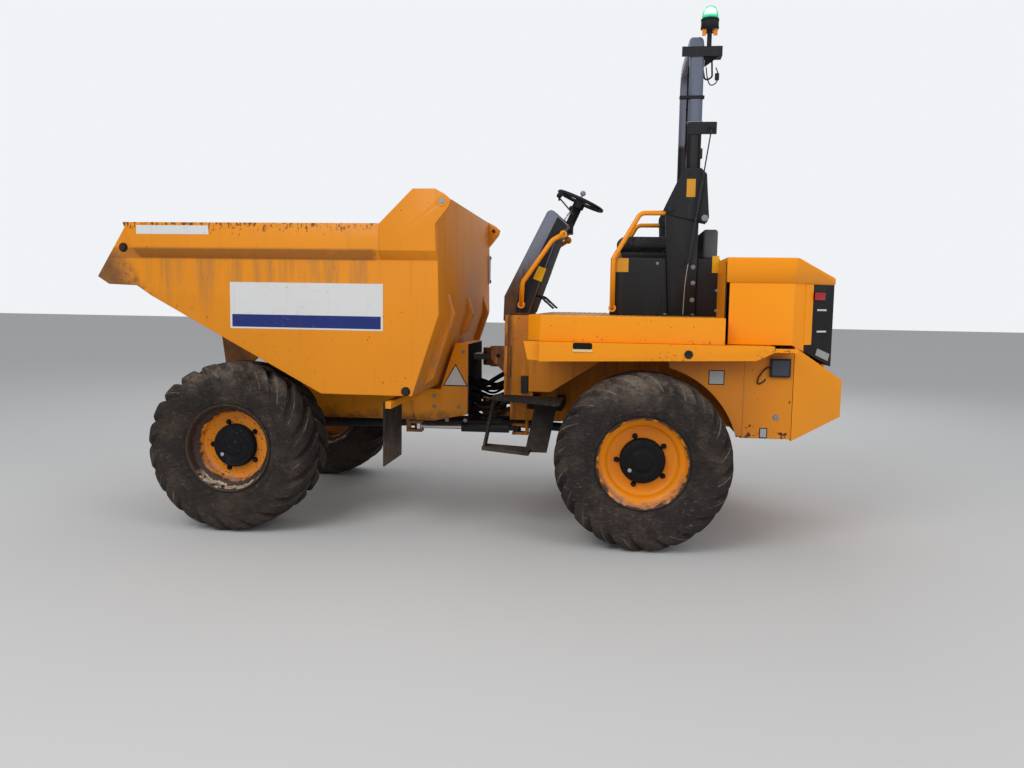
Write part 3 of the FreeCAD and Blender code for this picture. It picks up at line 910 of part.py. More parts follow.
def steps():
    top = prism_z([rear(p) for p in TREAD_PLAN], TREAD_Z - TREAD_THICKNESS, TREAD_Z)
    low = prism_z([rear(p) for p in LOW_TREAD_PLAN], LOW_TREAD_Z - TREAD_THICKNESS, LOW_TREAD_Z)
    foot_z, head_z = LOW_TREAD_Z - TREAD_THICKNESS, TREAD_Z - TREAD_THICKNESS + 1
    head, foot = TREAD_PLAN[0][0], LOW_TREAD_PLAN[0][0]
    hanger = prism_y([rear(p) for p in ((head, head_z), (head + 14, head_z), (foot + 14, foot_z), (foot, foot_z))], -780, -650)
    plate_back = LOW_TREAD_PLAN[1][0]
    plate = prism_y([rear(p) for p in (
        (plate_back + STEP_LEAN - 40, head_z), (plate_back + STEP_LEAN + 112, head_z),
        (plate_back + 112, foot_z), (plate_back - 40, foot_z))], -800, -788)
    arms = [box(rear((x, 0))[0], rear((x + 60, 0))[0], y, -CHASSIS_RAIL_Y + 4, TREAD_Z - 90, TREAD_Z - TREAD_THICKNESS)
            for x, y in STEP_ARMS]
    return fuse([top, low, hanger, plate] + arms).cut(pieces["rear_chassis"])


pieces["steps"] = both_sides(steps())

# Tail lamps on the slanted rear corners, and the marker lamp on each side box
LAMP_BACK = BONNET_TAIL - 75
LAMP_LENGTH = 80.0
LAMP_TOP = GRILLE_TOP - 52
LAMP_HEIGHT = 50.0
lamp = box(rear((LAMP_BACK - LAMP_LENGTH, 0))[0], rear((LAMP_BACK, 0))[0], -BODY_HALF - 1, -BONNET_TAIL_HALF,
           LAMP_TOP - LAMP_HEIGHT, LAMP_TOP)
slab = prism_z([rear(p) for p in (
    (BONNET_CORNER, -BODY_HALF - 0.3), (BONNET_TAIL, -BONNET_TAIL_HALF - 0.3), (BONNET_TAIL + 12, -BONNET_TAIL_HALF - 16),
    (BONNET_CORNER + 12, -BODY_HALF - 16))], LAMP_TOP - LAMP_HEIGHT - 10, LAMP_TOP + 10)
pieces["tail_lamps"] = both_sides(lamp.common(slab).cut(bonnet_full))
marker = box(rear((800, 0))[0], rear((930, 0))[0], -BODY_HALF - 30, -BODY_HALF, 1140, 1262)
pieces["side_lamps"] = both_sides(marker)

os.makedirs("parts", exist_ok=True)
for name, shape in pieces.items():
    shape.exportStep(f"parts/{name}.step")
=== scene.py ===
import bpy
import bmesh
import json
import math
from mathutils import Matrix, Vector


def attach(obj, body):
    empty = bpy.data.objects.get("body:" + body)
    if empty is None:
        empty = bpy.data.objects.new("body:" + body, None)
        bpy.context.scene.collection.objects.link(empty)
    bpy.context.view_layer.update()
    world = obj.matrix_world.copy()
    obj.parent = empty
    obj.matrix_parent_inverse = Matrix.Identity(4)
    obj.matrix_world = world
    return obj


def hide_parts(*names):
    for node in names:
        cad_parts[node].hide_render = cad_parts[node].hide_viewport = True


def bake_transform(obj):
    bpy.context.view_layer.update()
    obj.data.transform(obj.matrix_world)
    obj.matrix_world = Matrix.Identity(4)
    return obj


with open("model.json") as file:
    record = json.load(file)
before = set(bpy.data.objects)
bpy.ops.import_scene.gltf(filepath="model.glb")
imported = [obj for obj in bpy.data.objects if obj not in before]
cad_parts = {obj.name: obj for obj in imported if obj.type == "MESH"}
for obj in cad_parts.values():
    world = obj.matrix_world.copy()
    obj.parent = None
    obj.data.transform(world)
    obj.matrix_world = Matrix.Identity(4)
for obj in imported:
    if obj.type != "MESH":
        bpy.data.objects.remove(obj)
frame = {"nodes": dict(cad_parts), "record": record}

CAMERA_PLACE, CAMERA_LENS, SENSOR_WIDTH = (1.0157, -6.5797, 1.5928), 29.742, 36.0
CAMERA_YAW, CAMERA_PITCH, CAMERA_ROLL = 6.9622, 5.4952, -0.9392     # degrees
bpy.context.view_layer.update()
scene = bpy.context.scene
camera_data = bpy.data.cameras.new("site_camera")
camera_data.lens, camera_data.sensor_width, camera_data.clip_end = CAMERA_LENS, SENSOR_WIDTH, 200
camera = bpy.data.objects.new("site_camera", camera_data)
scene.collection.objects.link(camera)
yaw, pitch, roll = (math.radians(turn) for turn in (CAMERA_YAW, CAMERA_PITCH, CAMERA_ROLL))
ahead = Vector((-math.sin(yaw) * math.cos(pitch), math.cos(yaw) * math.cos(pitch), -math.sin(pitch)))
level = Vector((math.cos(yaw), math.sin(yaw), 0))
below = ahead.cross(level)
right = math.cos(roll) * level + math.sin(roll) * below
down = math.cos(roll) * below - math.sin(roll) * level
camera.matrix_world = Matrix((right, -down, -ahead)).transposed().to_4x4()
camera.location = CAMERA_PLACE
scene.camera = camera
scene.view_settings.view_transform = "Standard"

# Tyres: four wide traction tyres of black rubber, with chevron lugs that wrap over the shoulder.
# Carcass and lugs are moulded in one, and mud has dried on all of it, palest along the lugs' edges.
FRONT_AXLE, REAR_AXLE, TRACK, AXLE_HEIGHT = -1.583, 1.207, 0.975, 0.578
SIDES = ((-1, "left"), (1, "right"))
LUGS = 20
CARCASS = ((0.000, 0.542), (0.060, 0.541), (0.150, 0.538), (0.204, 0.531), (0.224, 0.513), (0.238, 0.492),
           (0.246, 0.472), (0.2490, 0.452), (0.2475, 0.436), (0.2485, 0.432), (0.245, 0.412), (0.232, 0.375),
           (0.222, 0.350), (0.2235, 0.346), (0.214, 0.330), (0.206, 0.311), (0.199, 0.297), (0.191, 0.2885))
# columns: base across and radius, top across and radius, how far the lug trails there in degrees
LUG = ((0.014, 0.5405, 0.014, 0.5770, 0.8), (0.060, 0.539, 0.060, 0.578, -2.0), (0.120, 0.536, 0.120, 0.5772, -6.0),
       (0.170, 0.532, 0.172, 0.573, -9.5), (0.202, 0.527, 0.207, 0.566, -12.3), (0.221, 0.511, 0.230, 0.549, -15.2),
       (0.234, 0.490, 0.244, 0.527, -18.2), (0.242, 0.476, 0.2493, 0.506, -20.8), (0.246, 0.467, 0.2498, 0.489, -22.6))
LUG_BASE, LUG_TOP = 6.4, 5.1     # half widths in degrees
body_names = {node: body for body, nodes in frame["record"]["behaviour"]["bodies"].items() for node in nodes}
slot_names = {part["node"]: part["material_slot"] for part in frame["record"]["subparts"]}
# body and record slot of what is fixed to each of these
ON_FRONT, ON_REAR, ON_SKIP = ("front_frame", "frame_paint"), ("rear_frame", "frame_paint"), ("skip", "skip_paint")
ON_PANELS, ON_CONSOLE = ("rear_frame", "panel_black"), ("rear_frame", "console_grey")
ON_POSTS, ON_HOOP = ("rear_frame", "frame_dark"), ("rollover_hoop", "frame_dark")
STICKER = 0.0012     # thickness of printed vinyl


def named_group(name, kind, inputs, outputs):
    """A node group with named sockets, and its input and output nodes."""
    group = bpy.data.node_groups.new(name, kind)
    for socket, socket_kind, value in inputs:
        made = group.interface.new_socket(socket, in_out="INPUT", socket_type="NodeSocket" + socket_kind)
        if value is not None:
            made.default_value = value
    for socket, socket_kind in outputs:
        group.interface.new_socket(socket, in_out="OUTPUT", socket_type="NodeSocket" + socket_kind)
    return group, group.nodes.new("NodeGroupInput"), group.nodes.new("NodeGroupOutput")


class Wiring:
    """Short calls for the nodes of one tree."""

    def __init__(self, tree):
        self.tree = tree

    def put(self, socket, value):
        if isinstance(value, bpy.types.NodeSocket):
            self.tree.links.new(value, socket)
        else:
            socket.default_value = value

    def node(self, kind, settings=None, **inputs):
        made = self.tree.nodes.new(kind)
        for key, value in (settings or {}).items():
            setattr(made, key, value)
        for key, value in inputs.items():
            self.put(made.inputs[key.replace("_", " ")], value)
        return made

    def math(self, operation, a, b=0.0, clamp=False):
        made = self.tree.nodes.new("ShaderNodeMath")
        made.operation, made.use_clamp = operation, clamp
        self.put(made.inputs[0], a)
        self.put(made.inputs[1], b)
        return made.outputs[0]

    def times(self, a, b):
        return self.math("MULTIPLY", a, b)

    def plus(self, a, b):
        return self.math("ADD", a, b)

    def less(self, a, b):
        return self.math("SUBTRACT", a, b)

    def larger(self, a, b, clamp=False):
        return self.math("MAXIMUM", a, b, clamp)

    def mix(self, factor, a, b):
        """Colour between a and b; a colour of three numbers is read as 0 to 255."""
        made = self.tree.nodes.new("ShaderNodeMix")
        made.data_type, made.clamp_factor = "RGBA", True
        for index, value in ((0, factor), (6, a), (7, b)):
            plain = isinstance(value, tuple) and len(value) == 3
            self.put(made.inputs[index], rgb(*value) if plain else value)
        return made.outputs[2]

    def mix_number(self, factor, a, b):
        made = self.tree.nodes.new("ShaderNodeMix")
        for index, value in ((0, factor), (2, a), (3, b)):
            self.put(made.inputs[index], value)
        return made.outputs[0]

    def step(self, value, low, high, start=0.0, end=1.0):
        made = self.tree.nodes.new("ShaderNodeMapRange")
        made.interpolation_type = "SMOOTHSTEP"
        for index, item in enumerate((value, low, high, start, end)):
            self.put(made.inputs[index], item)
        return made.outputs[0]

    def noise(self, place, scale, detail=3.0, rough=0.55, warp=0.0):
        made = self.node("ShaderNodeTexNoise", Vector=place, Scale=scale, Detail=detail, Roughness=rough,
                         Distortion=warp)
        return made.outputs["Fac"]

    def stretched(self, place, scale):
        made = self.tree.nodes.new("ShaderNodeMapping")
        self.put(made.inputs["Vector"], place)
        made.inputs["Scale"].default_value = scale
        return made.outputs[0]

    def apart(self, place):
        return self.node("ShaderNodeSeparateXYZ", Vector=place).outputs


def rgb(r, g, b):
    """Linear colour of a colour seen as 0 to 255."""
    return tuple(((c / 255 + 0.055) / 1.055) ** 2.4 if c > 10 else c / 3294.6 for c in (r, g, b)) + (1.0,)


# Mud lies on every outside surface, so one group makes it: a film that thickens towards the ground, runs and splashes.
MUD_WET, MUD_DRY, MUD_ROUGHNESS = (58, 47, 39), (124, 106, 90), 0.9
COAT_ROUGHNESS, BUMP_DEPTH = 0.12, 0.004
dirt_group, dirt_in, dirt_out = named_group("site_dirt", "ShaderNodeTree", [
    ("Place", "Vector", (0, 0, 0)), ("Amount", "Float", 0.4), ("Low", "Float", 0.3), ("High", "Float", 2.0),
    ("Splashes", "Float", 0.3), ("Runs", "Float", 0.2)], [("Cover", "Float"), ("Shade", "Float"), ("Height", "Float")])
w = Wiring(dirt_group)
place = dirt_in.outputs["Place"]
near_ground = w.step(w.apart(place)["Z"], dirt_in.outputs["High"], dirt_in.outputs["Low"])
patches = w.noise(place, 3.2, 6, 0.62, 0.4)
fine = w.noise(place, 26, 4, 0.6)
blend = w.plus(w.times(patches, 0.72), w.times(fine, 0.28))
wanted = w.times(dirt_in.outputs["Amount"], w.plus(w.times(near_ground, 0.85), 0.15))
film = w.step(w.plus(blend, w.less(wanted, 0.5)), 0.42, 0.78)
drops = w.node("ShaderNodeTexVoronoi", {"feature": "F1"}, Vector=place, Scale=38.0, Randomness=1.0)
drop_size = w.times(w.noise(place, 2.1, 2), w.times(dirt_in.outputs["Splashes"], 0.62))
splash = w.step(w.less(drop_size, drops.outputs["Distance"]), -0.02, 0.05)
run = w.times(w.step(w.noise(w.stretched(place, (17, 17, 0.9)), 1.0, 4, 0.6), 0.55, 0.72), dirt_in.outputs["Runs"])
w.put(dirt_out.inputs["Cover"], w.larger(w.larger(film, splash), run, clamp=True))
w.put(dirt_out.inputs["Shade"], w.noise(place, 11, 5, 0.65))
w.put(dirt_out.inputs["Height"], w.larger(splash, w.times(film, fine)))


def finish_of(name, colour, rough=0.4, metal=0.0, coat=0.0, dirt=(0.4, 0.3, 2.0, 0.3, 0.2), mud=(MUD_WET, MUD_DRY),
              grain=0.0, grain_scale=260.0, variation=0.06, specular=0.32, extra=None, relief_of=None):
    """Material with this finish under the site's dirt.

    dirt is its amount, the heights where the film is full and where it ends, splashes and runs; mud is its two colours.
    extra may change the clean colour, and relief_of adds to the bump.
    """
    material = bpy.data.materials.new(name)
    material.use_nodes = True
    shader = material.node_tree.nodes["Principled BSDF"]
    w = Wiring(material.node_tree)
    place = w.node("ShaderNodeTexCoord").outputs["Object"]
    tone = w.noise(place, 1.7, 3, 0.5)
    light = rgb(*colour)[:3]
    clean = w.mix(tone, (*(c * (1 - variation) for c in light), 1), (*(min(1, c * (1 + variation)) for c in light), 1))
    if extra:
        clean = extra(w, place, clean)
    group = w.node("ShaderNodeGroup", {"node_tree": dirt_group}, Place=place, Amount=dirt[0], Low=dirt[1], High=dirt[2],
                   Splashes=dirt[3], Runs=dirt[4])
    cover = group.outputs["Cover"]
    w.put(shader.inputs["Base Color"], w.mix(cover, clean, w.mix(group.outputs["Shade"], mud[0], mud[1])))
    w.put(shader.inputs["Roughness"], w.mix_number(cover, w.plus(rough, w.times(tone, 0.06)), MUD_ROUGHNESS))
    shader.inputs["Metallic"].default_value = metal
    shader.inputs["Specular IOR Level"].default_value = specular
    if coat:
        shader.inputs["Coat Weight"].default_value = coat
        shader.inputs["Coat Roughness"].default_value = COAT_ROUGHNESS
    relief = group.outputs["Height"]
    if grain:
        relief = w.plus(relief, w.times(w.noise(place, grain_scale, 2, 0.5), grain))
    if relief_of:
        relief = w.plus(relief, relief_of(w, place))
    bump = w.node("ShaderNodeBump", Strength=0.5, Distance=BUMP_DEPTH, Height=relief)
    w.put(shader.inputs["Normal"], bump.outputs["Normal"])
    return material


def new_piece(name, mesh_data, material=None, corner=None):
    piece = bpy.data.objects.new(name, mesh_data)
    scene.collection.objects.link(piece)
    if material:
        mesh_data.materials.append(material)
    if corner:
        for polygon in mesh_data.polygons:
            polygon.use_smooth = True
        mesh_data.set_sharp_from_angle(angle=math.radians(corner))
    return piece


def settle(piece, body, slot_name, *nodes):
    """Rides a finished piece on its body and hides the nodes that it stands for; slot_name is not used."""
    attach(piece, body)
    if nodes:
        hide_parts(*nodes)
    return piece


def meshed(name, shape):
    """Turns the bmesh into a mesh and frees it."""
    data = bpy.data.meshes.new(name)
    shape.to_mesh(data)
    shape.free()
    return data


def built(name, points, faces, seams=True):
    """Mesh of points and faces with its normals turned outwards."""
    shape = bmesh.new()
    made = [shape.verts.new(point) for point in points]
    for face in faces:
        shape.faces.new([made[index] for index in face])
    if seams:
        bmesh.ops.remove_doubles(shape, verts=shape.verts, dist=0.000005)
    bmesh.ops.recalc_face_normals(shape, faces=shape.faces)
    return meshed(name, shape)


def turned(name, profile, centre, steps=96, side=-1):
    """Closed outline of (across, radius) points turned about a line along Y; across is measured outwards."""
    points, faces, count = [], [], len(profile)
    for turn in range(steps):
        angle = math.tau * turn / steps
        points += [(centre[0] + r * math.cos(angle), centre[1] + side * a, centre[2] + r * math.sin(angle)) for a,
                   r in profile]
    for turn in range(steps):
        for index in range(count):
            here, after = turn * count, (turn + 1) % steps * count
            follow = (index + 1) % count
            faces.append((here + index, here + follow, after + follow, after + index))
    return built(name, points, faces)


def grown(name, source, tree, values):
    """Runs a Geometry Nodes tree on a mesh and keeps what it makes as a plain mesh."""
    holder = new_piece(name + "_source", source)
    modifier = holder.modifiers.new("nodes", "NODES")
    modifier.node_group = tree
    sockets = {item.name: item.identifier for item in tree.interface.items_tree if item.in_out == "INPUT"}
    for key, value in values.items():
        modifier[sockets[key]] = value
    graph = bpy.context.evaluated_depsgraph_get()
    data = bpy.data.meshes.new_from_object(holder.evaluated_get(graph), depsgraph=graph)
    data.name = name
    bpy.data.objects.remove(holder)
    return data


def finish_tree(w, tree_in, tree_out, instances):
    """Makes the instances real, gives them the tree's material and hands them to its output."""
    solid = w.node("GeometryNodeRealizeInstances", Geometry=instances.outputs[0])
    painted = w.node("GeometryNodeSetMaterial", Geometry=solid.outputs[0], Material=tree_in.outputs["Material"])
    w.put(tree_out.inputs[0], painted.outputs[0])


# Ring tree: copies of one item, turned about the wheel's axle.
ring_tree, tree_in, tree_out = named_group("items_on_a_ring", "GeometryNodeTree", [
    ("Item", "Geometry", None), ("Count", "Int", 20), ("Start", "Float", 0.0), ("Material", "Material", None)],
    [("Ring", "Geometry")])
w = Wiring(ring_tree)
spots = w.node("GeometryNodeMeshLine", Count=tree_in.outputs["Count"], Offset=(0, 0, 0)).outputs["Mesh"]
part_turn = w.math("DIVIDE", w.node("GeometryNodeInputIndex").outputs[0], tree_in.outputs["Count"])
angle = w.plus(w.times(part_turn, math.tau), tree_in.outputs["Start"])
spin = w.node("FunctionNodeEulerToRotation", Euler=w.node("ShaderNodeCombineXYZ", Y=angle).outputs[0])
ring = w.node("GeometryNodeInstanceOnPoints", Points=spots, Instance=tree_in.outputs["Item"], Rotation=spin.outputs[0])
finish_tree(w, tree_in, tree_out, ring)


def tyre_marks(w, place, clean):
    edge = w.node("ShaderNodeAttribute", {"attribute_name": "edge"}).outputs["Fac"]
    dust = w.times(w.step(w.times(edge, w.noise(place, 9, 6, 0.7)), 0.36, 0.60), 0.8)
    upper = w.times(w.step(w.apart(place)["Z"], 0.86, 1.12), w.step(w.noise(place, 4, 4, 0.6), 0.40, 0.62))
    caked = w.mix(w.times(w.step(w.noise(place, 5.5, 5, 0.6), 0.44, 0.64), 0.8), clean, (68, 58, 50))
    caked = w.mix(w.times(upper, 0.6), caked, (128, 114, 102))
    waves = w.noise(w.stretched(place, (24, 24, 46)), 1.2, 6, 0.72, 0.8)
    caked = w.mix(w.times(w.step(waves, 0.54, 0.38), 0.5), caked, (26, 21, 20))
    flecks = w.times(w.step(waves, 0.54, 0.66), w.step(w.noise(place, 52, 5, 0.75), 0.44, 0.62))
    return w.mix(w.larger(dust, w.times(flecks, 0.42)), caked, (138, 124, 112))


def tyre_relief(w, place):
    ripple = w.noise(w.stretched(place, (26, 8, 60)), 1.0, 6, 0.75, 0.6)
    return w.plus(w.times(ripple, 3.2), w.times(w.noise(place, 90, 3), 1.1))


tyre_rubber = {
    "rear": finish_of("tyre_rubber_rear", (44, 38, 36), 0.84, dirt=(0.46, -0.2, 1.4, 0.12, 0.0),
                      mud=((40, 33, 29), (84, 71, 61)), variation=0.12, extra=tyre_marks, relief_of=tyre_relief),
    "front": finish_of("tyre_rubber_front", (44, 38, 35), 0.88, dirt=(0.66, -0.2, 1.5, 0.24, 0.0),
                       mud=((38, 31, 27), (82, 69, 59)), variation=0.12, extra=tyre_marks, relief_of=tyre_relief)}
lug_points, lug_faces, lug_edges = [], [], []
for half in (-1, 1):
    start = len(lug_points)
    for base_across, base_radius, top_across, top_radius, trail in LUG:
        middle = trail - 90 + (4.5 if half < 0 else 13.5)
        rows = ((-LUG_BASE, base_across, base_radius, 0), (-LUG_TOP - 0.45, top_across - 0.001, top_radius - 0.006, 0),
                (-LUG_TOP + 0.25, top_across, top_radius - 0.0008, 0.35), (-LUG_TOP / 2, top_across, top_radius, 0),
                (LUG_TOP / 2, top_across, top_radius, 0.1), (LUG_TOP - 0.25, top_across, top_radius - 0.0008, 1),
                (LUG_TOP + 0.45, top_across - 0.001, top_radius - 0.006, 0), (LUG_BASE, base_across, base_radius, 0))
        for turn, across, radius, worn in rows:
            around = math.radians(middle + turn)
            lug_points.append((radius * math.cos(around), half * across, radius * math.sin(around)))
            lug_edges.append(worn)
    for section in range(len(LUG) - 1):
        for index in range(7):
            first = start + section * 8 + index
            lug_faces.append((first, first + 1, first + 9, first + 8))
    lug_faces += [tuple(start + index for index in range(8)),
                  tuple(start + (len(LUG) - 1) * 8 + index for index in range(8))]
lug_item = built("lug", lug_points, lug_faces, seams=False)
lug_item.attributes.new("edge", "FLOAT", "POINT").data.foreach_set("value", [float(v) for v in lug_edges])
carcass_outline = [(a, r) for a, r in CARCASS] + [(-a, r) for a, r in CARCASS[:0:-1]]
for axle_name, axle_x in (("front", FRONT_AXLE), ("rear", REAR_AXLE)):
    lugs = grown("tyre_lugs", lug_item.copy(), ring_tree, {"Count": LUGS, "Material": tyre_rubber[axle_name]})
    for side, tag in SIDES:
        shape = bmesh.new()
        shape.from_mesh(turned("carcass", carcass_outline, (0, 0, 0), 120))
        shape.from_mesh(lugs)
        bmesh.ops.translate(shape, verts=shape.verts, vec=(axle_x, side * TRACK, AXLE_HEIGHT))
        data = meshed(f"tyre_{axle_name}_{tag}_rubber", shape)
        piece = new_piece(data.name, data, tyre_rubber[axle_name], 38)
        settle(piece, f"wheel_{axle_name}_{tag}", "tyre", f"tyre_{axle_name}_{tag}")

# Wheels: pressed steel rims with a dished disc in the machine's paint, held to a black cast hub by five nuts.
# Ten small bolts ring the hub, and a bright plug is in its face.
# Mud lies in the lower edge of the rim, and mud with painted shade in the barrel nearly fills the front wheels.
RIM = ((0.203, 0.288), (0.2045, 0.299), (0.207, 0.302), (0.212, 0.302), (0.215, 0.2995), (0.215, 0.295), (0.212, 0.290),
       (0.206, 0.2845), (0.196, 0.281), (0.180, 0.279), (0.158, 0.279), (0.149, 0.276), (0.141, 0.268), (0.131, 0.254),
       (0.122, 0.243), (0.112, 0.2375), (0.098, 0.235), (0.084, 0.2335), (0.075, 0.230), (0.069, 0.222), (0.066, 0.210),
       (0.065, 0.192), (0.0665, 0.188), (0.0665, 0.150), (0.049, 0.150), (0.049, 0.233), (-0.159, 0.233),
       (-0.189, 0.279), (-0.215, 0.279), (-0.215, 0.302), (-0.205, 0.302), (-0.203, 0.2877), (-0.185, 0.2877),
       (-0.155, 0.242), (0.120, 0.242), (0.155, 0.2877))
HUB = ((0.1262, 0.0), (0.127, 0.052), (0.1255, 0.058), (0.121, 0.062), (0.1172, 0.070), (0.1165, 0.092),
       (0.1185, 0.095), (0.1185, 0.108), (0.1150, 0.112), (0.1130, 0.130), (0.108, 0.141), (0.099, 0.148),
       (0.090, 0.150), (-0.021, 0.150), (-0.061, 0.120), (-0.061, 0.0401), (0.003, 0.0401), (0.003, 0.0))
NUT_RING, PLUG_RING, PLUG_ANGLE = 0.168, 0.123, 217


def fastener_item(name, radius, height, sides=6, washer=1.35):
    """A nut or bolt head with its chamfer and washer, standing on the XY plane."""
    points, faces = [], []
    rows = ((radius * washer, 0, 24), (radius * washer, height * 0.22, 24))
    rings = []
    for ring_radius, z, count in rows + ((radius, height * 0.22, sides), (radius, height * 0.86, sides),
                                         (radius * 0.84, height, sides)):
        rings.append([len(points) + i for i in range(count)])
        points += [(ring_radius * math.cos(math.tau * i / count), ring_radius * math.sin(math.tau * i / count),
                    z) for i in range(count)]
    for low, high in ((0, 1), (2, 3), (3, 4)):
        count = len(rings[low])
        faces += [(rings[low][i], rings[low][(i + 1) % count], rings[high][(i + 1) % count],
                   rings[high][i]) for i in range(count)]
    faces += [tuple(rings[0][::-1]), tuple(rings[1]), tuple(rings[4])]
    return built(name, points, faces, seams=False)


def wheel_mud_and_shade(axle_x, dark_ring_from):
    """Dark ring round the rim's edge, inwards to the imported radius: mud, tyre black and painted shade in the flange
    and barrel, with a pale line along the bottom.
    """
    def marks(w, place, clean):
        local = w.apart(place)
        dx, dz = w.less(local["X"], axle_x), w.less(local["Z"], AXLE_HEIGHT)
        radius = w.math("SQRT", w.plus(w.times(dx, dx), w.times(dz, dz)))
        ragged = w.plus(radius, w.times(w.less(w.noise(place, 17, 5, 0.65), 0.5), 0.07))
        low = w.step(dz, 0.05, -0.24)
        pink = w.times(w.times(low, w.step(ragged, dark_ring_from - 0.033, dark_ring_from - 0.012)),
                       w.step(w.noise(place, 12, 4, 0.6), 0.38, 0.56))
        soiled = w.mix(w.times(pink, 0.85), clean, (150, 112, 100))
        # Painted shade: this dark ring stands for the shadow in the rim's flange and barrel, together with mud and tyre
        # black.
        ring = w.mix(w.step(ragged, dark_ring_from - 0.006, dark_ring_from + 0.006), soiled,
                     w.mix(w.noise(place, 40, 3), (36, 28, 26), (74, 56, 46)))
        line = w.times(w.times(w.step(ragged, 0.268, 0.274), w.step(ragged, 0.286, 0.280)), w.step(dz, -0.15, -0.22))
        return w.mix(w.times(line, 0.75 if dark_ring_from < 0.26 else 0.2), ring, (206, 186, 160))
    return marks


WHEEL_PAINT = (232, 140, 14)
rim_paint = {"rear": finish_of("rim_paint_rear", WHEEL_PAINT, 0.42, coat=0.1, dirt=(0.10, 0.2, 0.9, 0.10, 0.0),
                               extra=wheel_mud_and_shade(REAR_AXLE, 0.287)),
             "front": finish_of("rim_paint_front", (222, 134, 24), 0.5, dirt=(0.30, 0.0, 1.1, 0.62, 0.0),
                                extra=wheel_mud_and_shade(FRONT_AXLE, 0.240))}
hub_black = finish_of("hub_black", (13, 14, 17), 0.5, dirt=(0.20, 0.2, 1.0, 0.16, 0.0),
                      mud=((24, 24, 28), (70, 66, 64)), specular=0.2, grain=0.2, grain_scale=140)
hub_mud = finish_of("hub_mud", (20, 21, 25), 0.8, dirt=(0.62, 0.0, 1.2, 0.5, 0.0), mud=((24, 24, 28), (86, 82, 82)),
                    specular=0.2, relief_of=lambda w, place: w.times(w.noise(place, 34, 5, 0.7), 3.0))
plug_zinc = finish_of("plug_zinc", (188, 190, 188), 0.3, metal=0.8, dirt=(0.2, 0.3, 1.2, 0.0, 0.0))
for axle_name, axle_x in (("front", FRONT_AXLE), ("rear", REAR_AXLE)):
    hub_finish = hub_black if axle_name == "rear" else hub_mud
    for side, tag in SIDES:
        body, centre = f"wheel_{axle_name}_{tag}", (axle_x, side * TRACK, AXLE_HEIGHT)
        rim = new_piece(f"rim_{axle_name}_{tag}", turned("rim", RIM, centre, 96, side), rim_paint[axle_name], 32)
        settle(rim, body, "wheel_paint", f"wheel_{axle_name}_{tag}")
        hub = new_piece(f"hub_{axle_name}_{tag}", turned("hub", HUB, centre, 72, side), hub_finish, 26)
        settle(hub, body, "axle_black")
        for label, item, count, start, ring_radius, across, finish in (
                ("nuts", fastener_item("nut", 0.0135, 0.024), 5, math.radians(-36), NUT_RING, 0.0665, hub_finish),
                ("hub_bolts", fastener_item("bolt", 0.006, 0.005), 10, 0.3, 0.131, 0.1128, hub_finish),
                ("plug", fastener_item("plug", 0.008, 0.007, 12, 1.6), 1, math.radians(-PLUG_ANGLE), PLUG_RING - 0.022,
                 0.1180, plug_zinc)):
            item.transform(Matrix.Translation((ring_radius, side * across, 0)) @ Matrix.Rotation(-side * math.pi / 2, 4,
                    "X"))
            data = grown(f"{label}_{axle_name}_{tag}", item, ring_tree,
                         {"Count": count, "Start": start, "Material": finish})
            data.transform(Matrix.Translation(centre))
            settle(new_piece(data.name, data, corner=30), body, "axle_black")


def paint_node(node, material):
    """Gives a CAD node its finish."""
    target = frame["nodes"][node]
    target.data.materials.clear()
    target.data.materials.append(material)


def ease_edges(piece, width, segments, tilt):
    """Rounds the edges that are sharper than tilt, and shades the piece smooth."""
    for polygon in piece.data.polygons:
        polygon.use_smooth = True
    bevel = piece.modifiers.new("edges", "BEVEL")
    bevel.width, bevel.segments, bevel.harden_normals = width, segments, True
    bevel.limit_method, bevel.angle_limit = "ANGLE", math.radians(tilt)


def node_copy(node, name, flatten=False):
    """Mesh of the node's own shape with its points joined, and with flat faces made whole where asked."""
    shape = bmesh.new()
    shape.from_mesh(frame["nodes"][node].data)
    bmesh.ops.remove_doubles(shape, verts=shape.verts, dist=0.00002)
    if flatten:
        bmesh.ops.dissolve_limit(shape, angle_limit=math.radians(0.6), verts=shape.verts, edges=shape.edges)
    return meshed(name, shape)


def rounded_copy(node, material, radius, segments):
    """The node's own shape with its edges rounded as folded and dressed plate has them."""
    piece = new_piece(node + "_plate", node_copy(node, node + "_plate", True), material)
    ease_edges(piece, radius, segments, 28)
    return settle(piece, body_names[node], slot_names[node], node)


def smooth_copy(node, material, corner=30):
    """The node's own shape with its round faces shaded smooth."""
    data = node_copy(node, node + "_smooth")
    return settle(new_piece(data.name, data, material, corner), body_names[node], slot_names[node], node)


# Bolts and rivets: one tree sets a head on each point of a mesh, facing the way that the point's attribute gives.
bolt_tree, tree_in, tree_out = named_group("heads_on_points", "GeometryNodeTree", [
    ("Points", "Geometry", None), ("Radius", "Float", 0.009), ("Height", "Float", 0.007), ("Sides", "Int", 6),
    ("Material", "Material", None)], [("Heads", "Geometry")])
w = Wiring(bolt_tree)
head = w.node("GeometryNodeMeshCylinder", Vertices=tree_in.outputs["Sides"], Radius=tree_in.outputs["Radius"],
              Depth=tree_in.outputs["Height"])
washer = w.node("GeometryNodeMeshCylinder", Vertices=20, Radius=w.times(tree_in.outputs["Radius"], 1.5),
                Depth=w.times(tree_in.outputs["Height"], 0.4))
raised = w.node("GeometryNodeTransform", Geometry=head.outputs["Mesh"],
                Translation=w.node("ShaderNodeCombineXYZ", Z=w.times(tree_in.outputs["Height"], 0.5)).outputs[0])
both = w.node("GeometryNodeJoinGeometry")
for item in (raised.outputs[0], washer.outputs["Mesh"]):
    bolt_tree.links.new(item, both.inputs[0])
facing = w.node("GeometryNodeInputNamedAttribute", {"data_type": "FLOAT_VECTOR"}, Name="facing")
aim = w.node("FunctionNodeAlignRotationToVector", {"axis": "Z"}, Vector=facing.outputs[0])
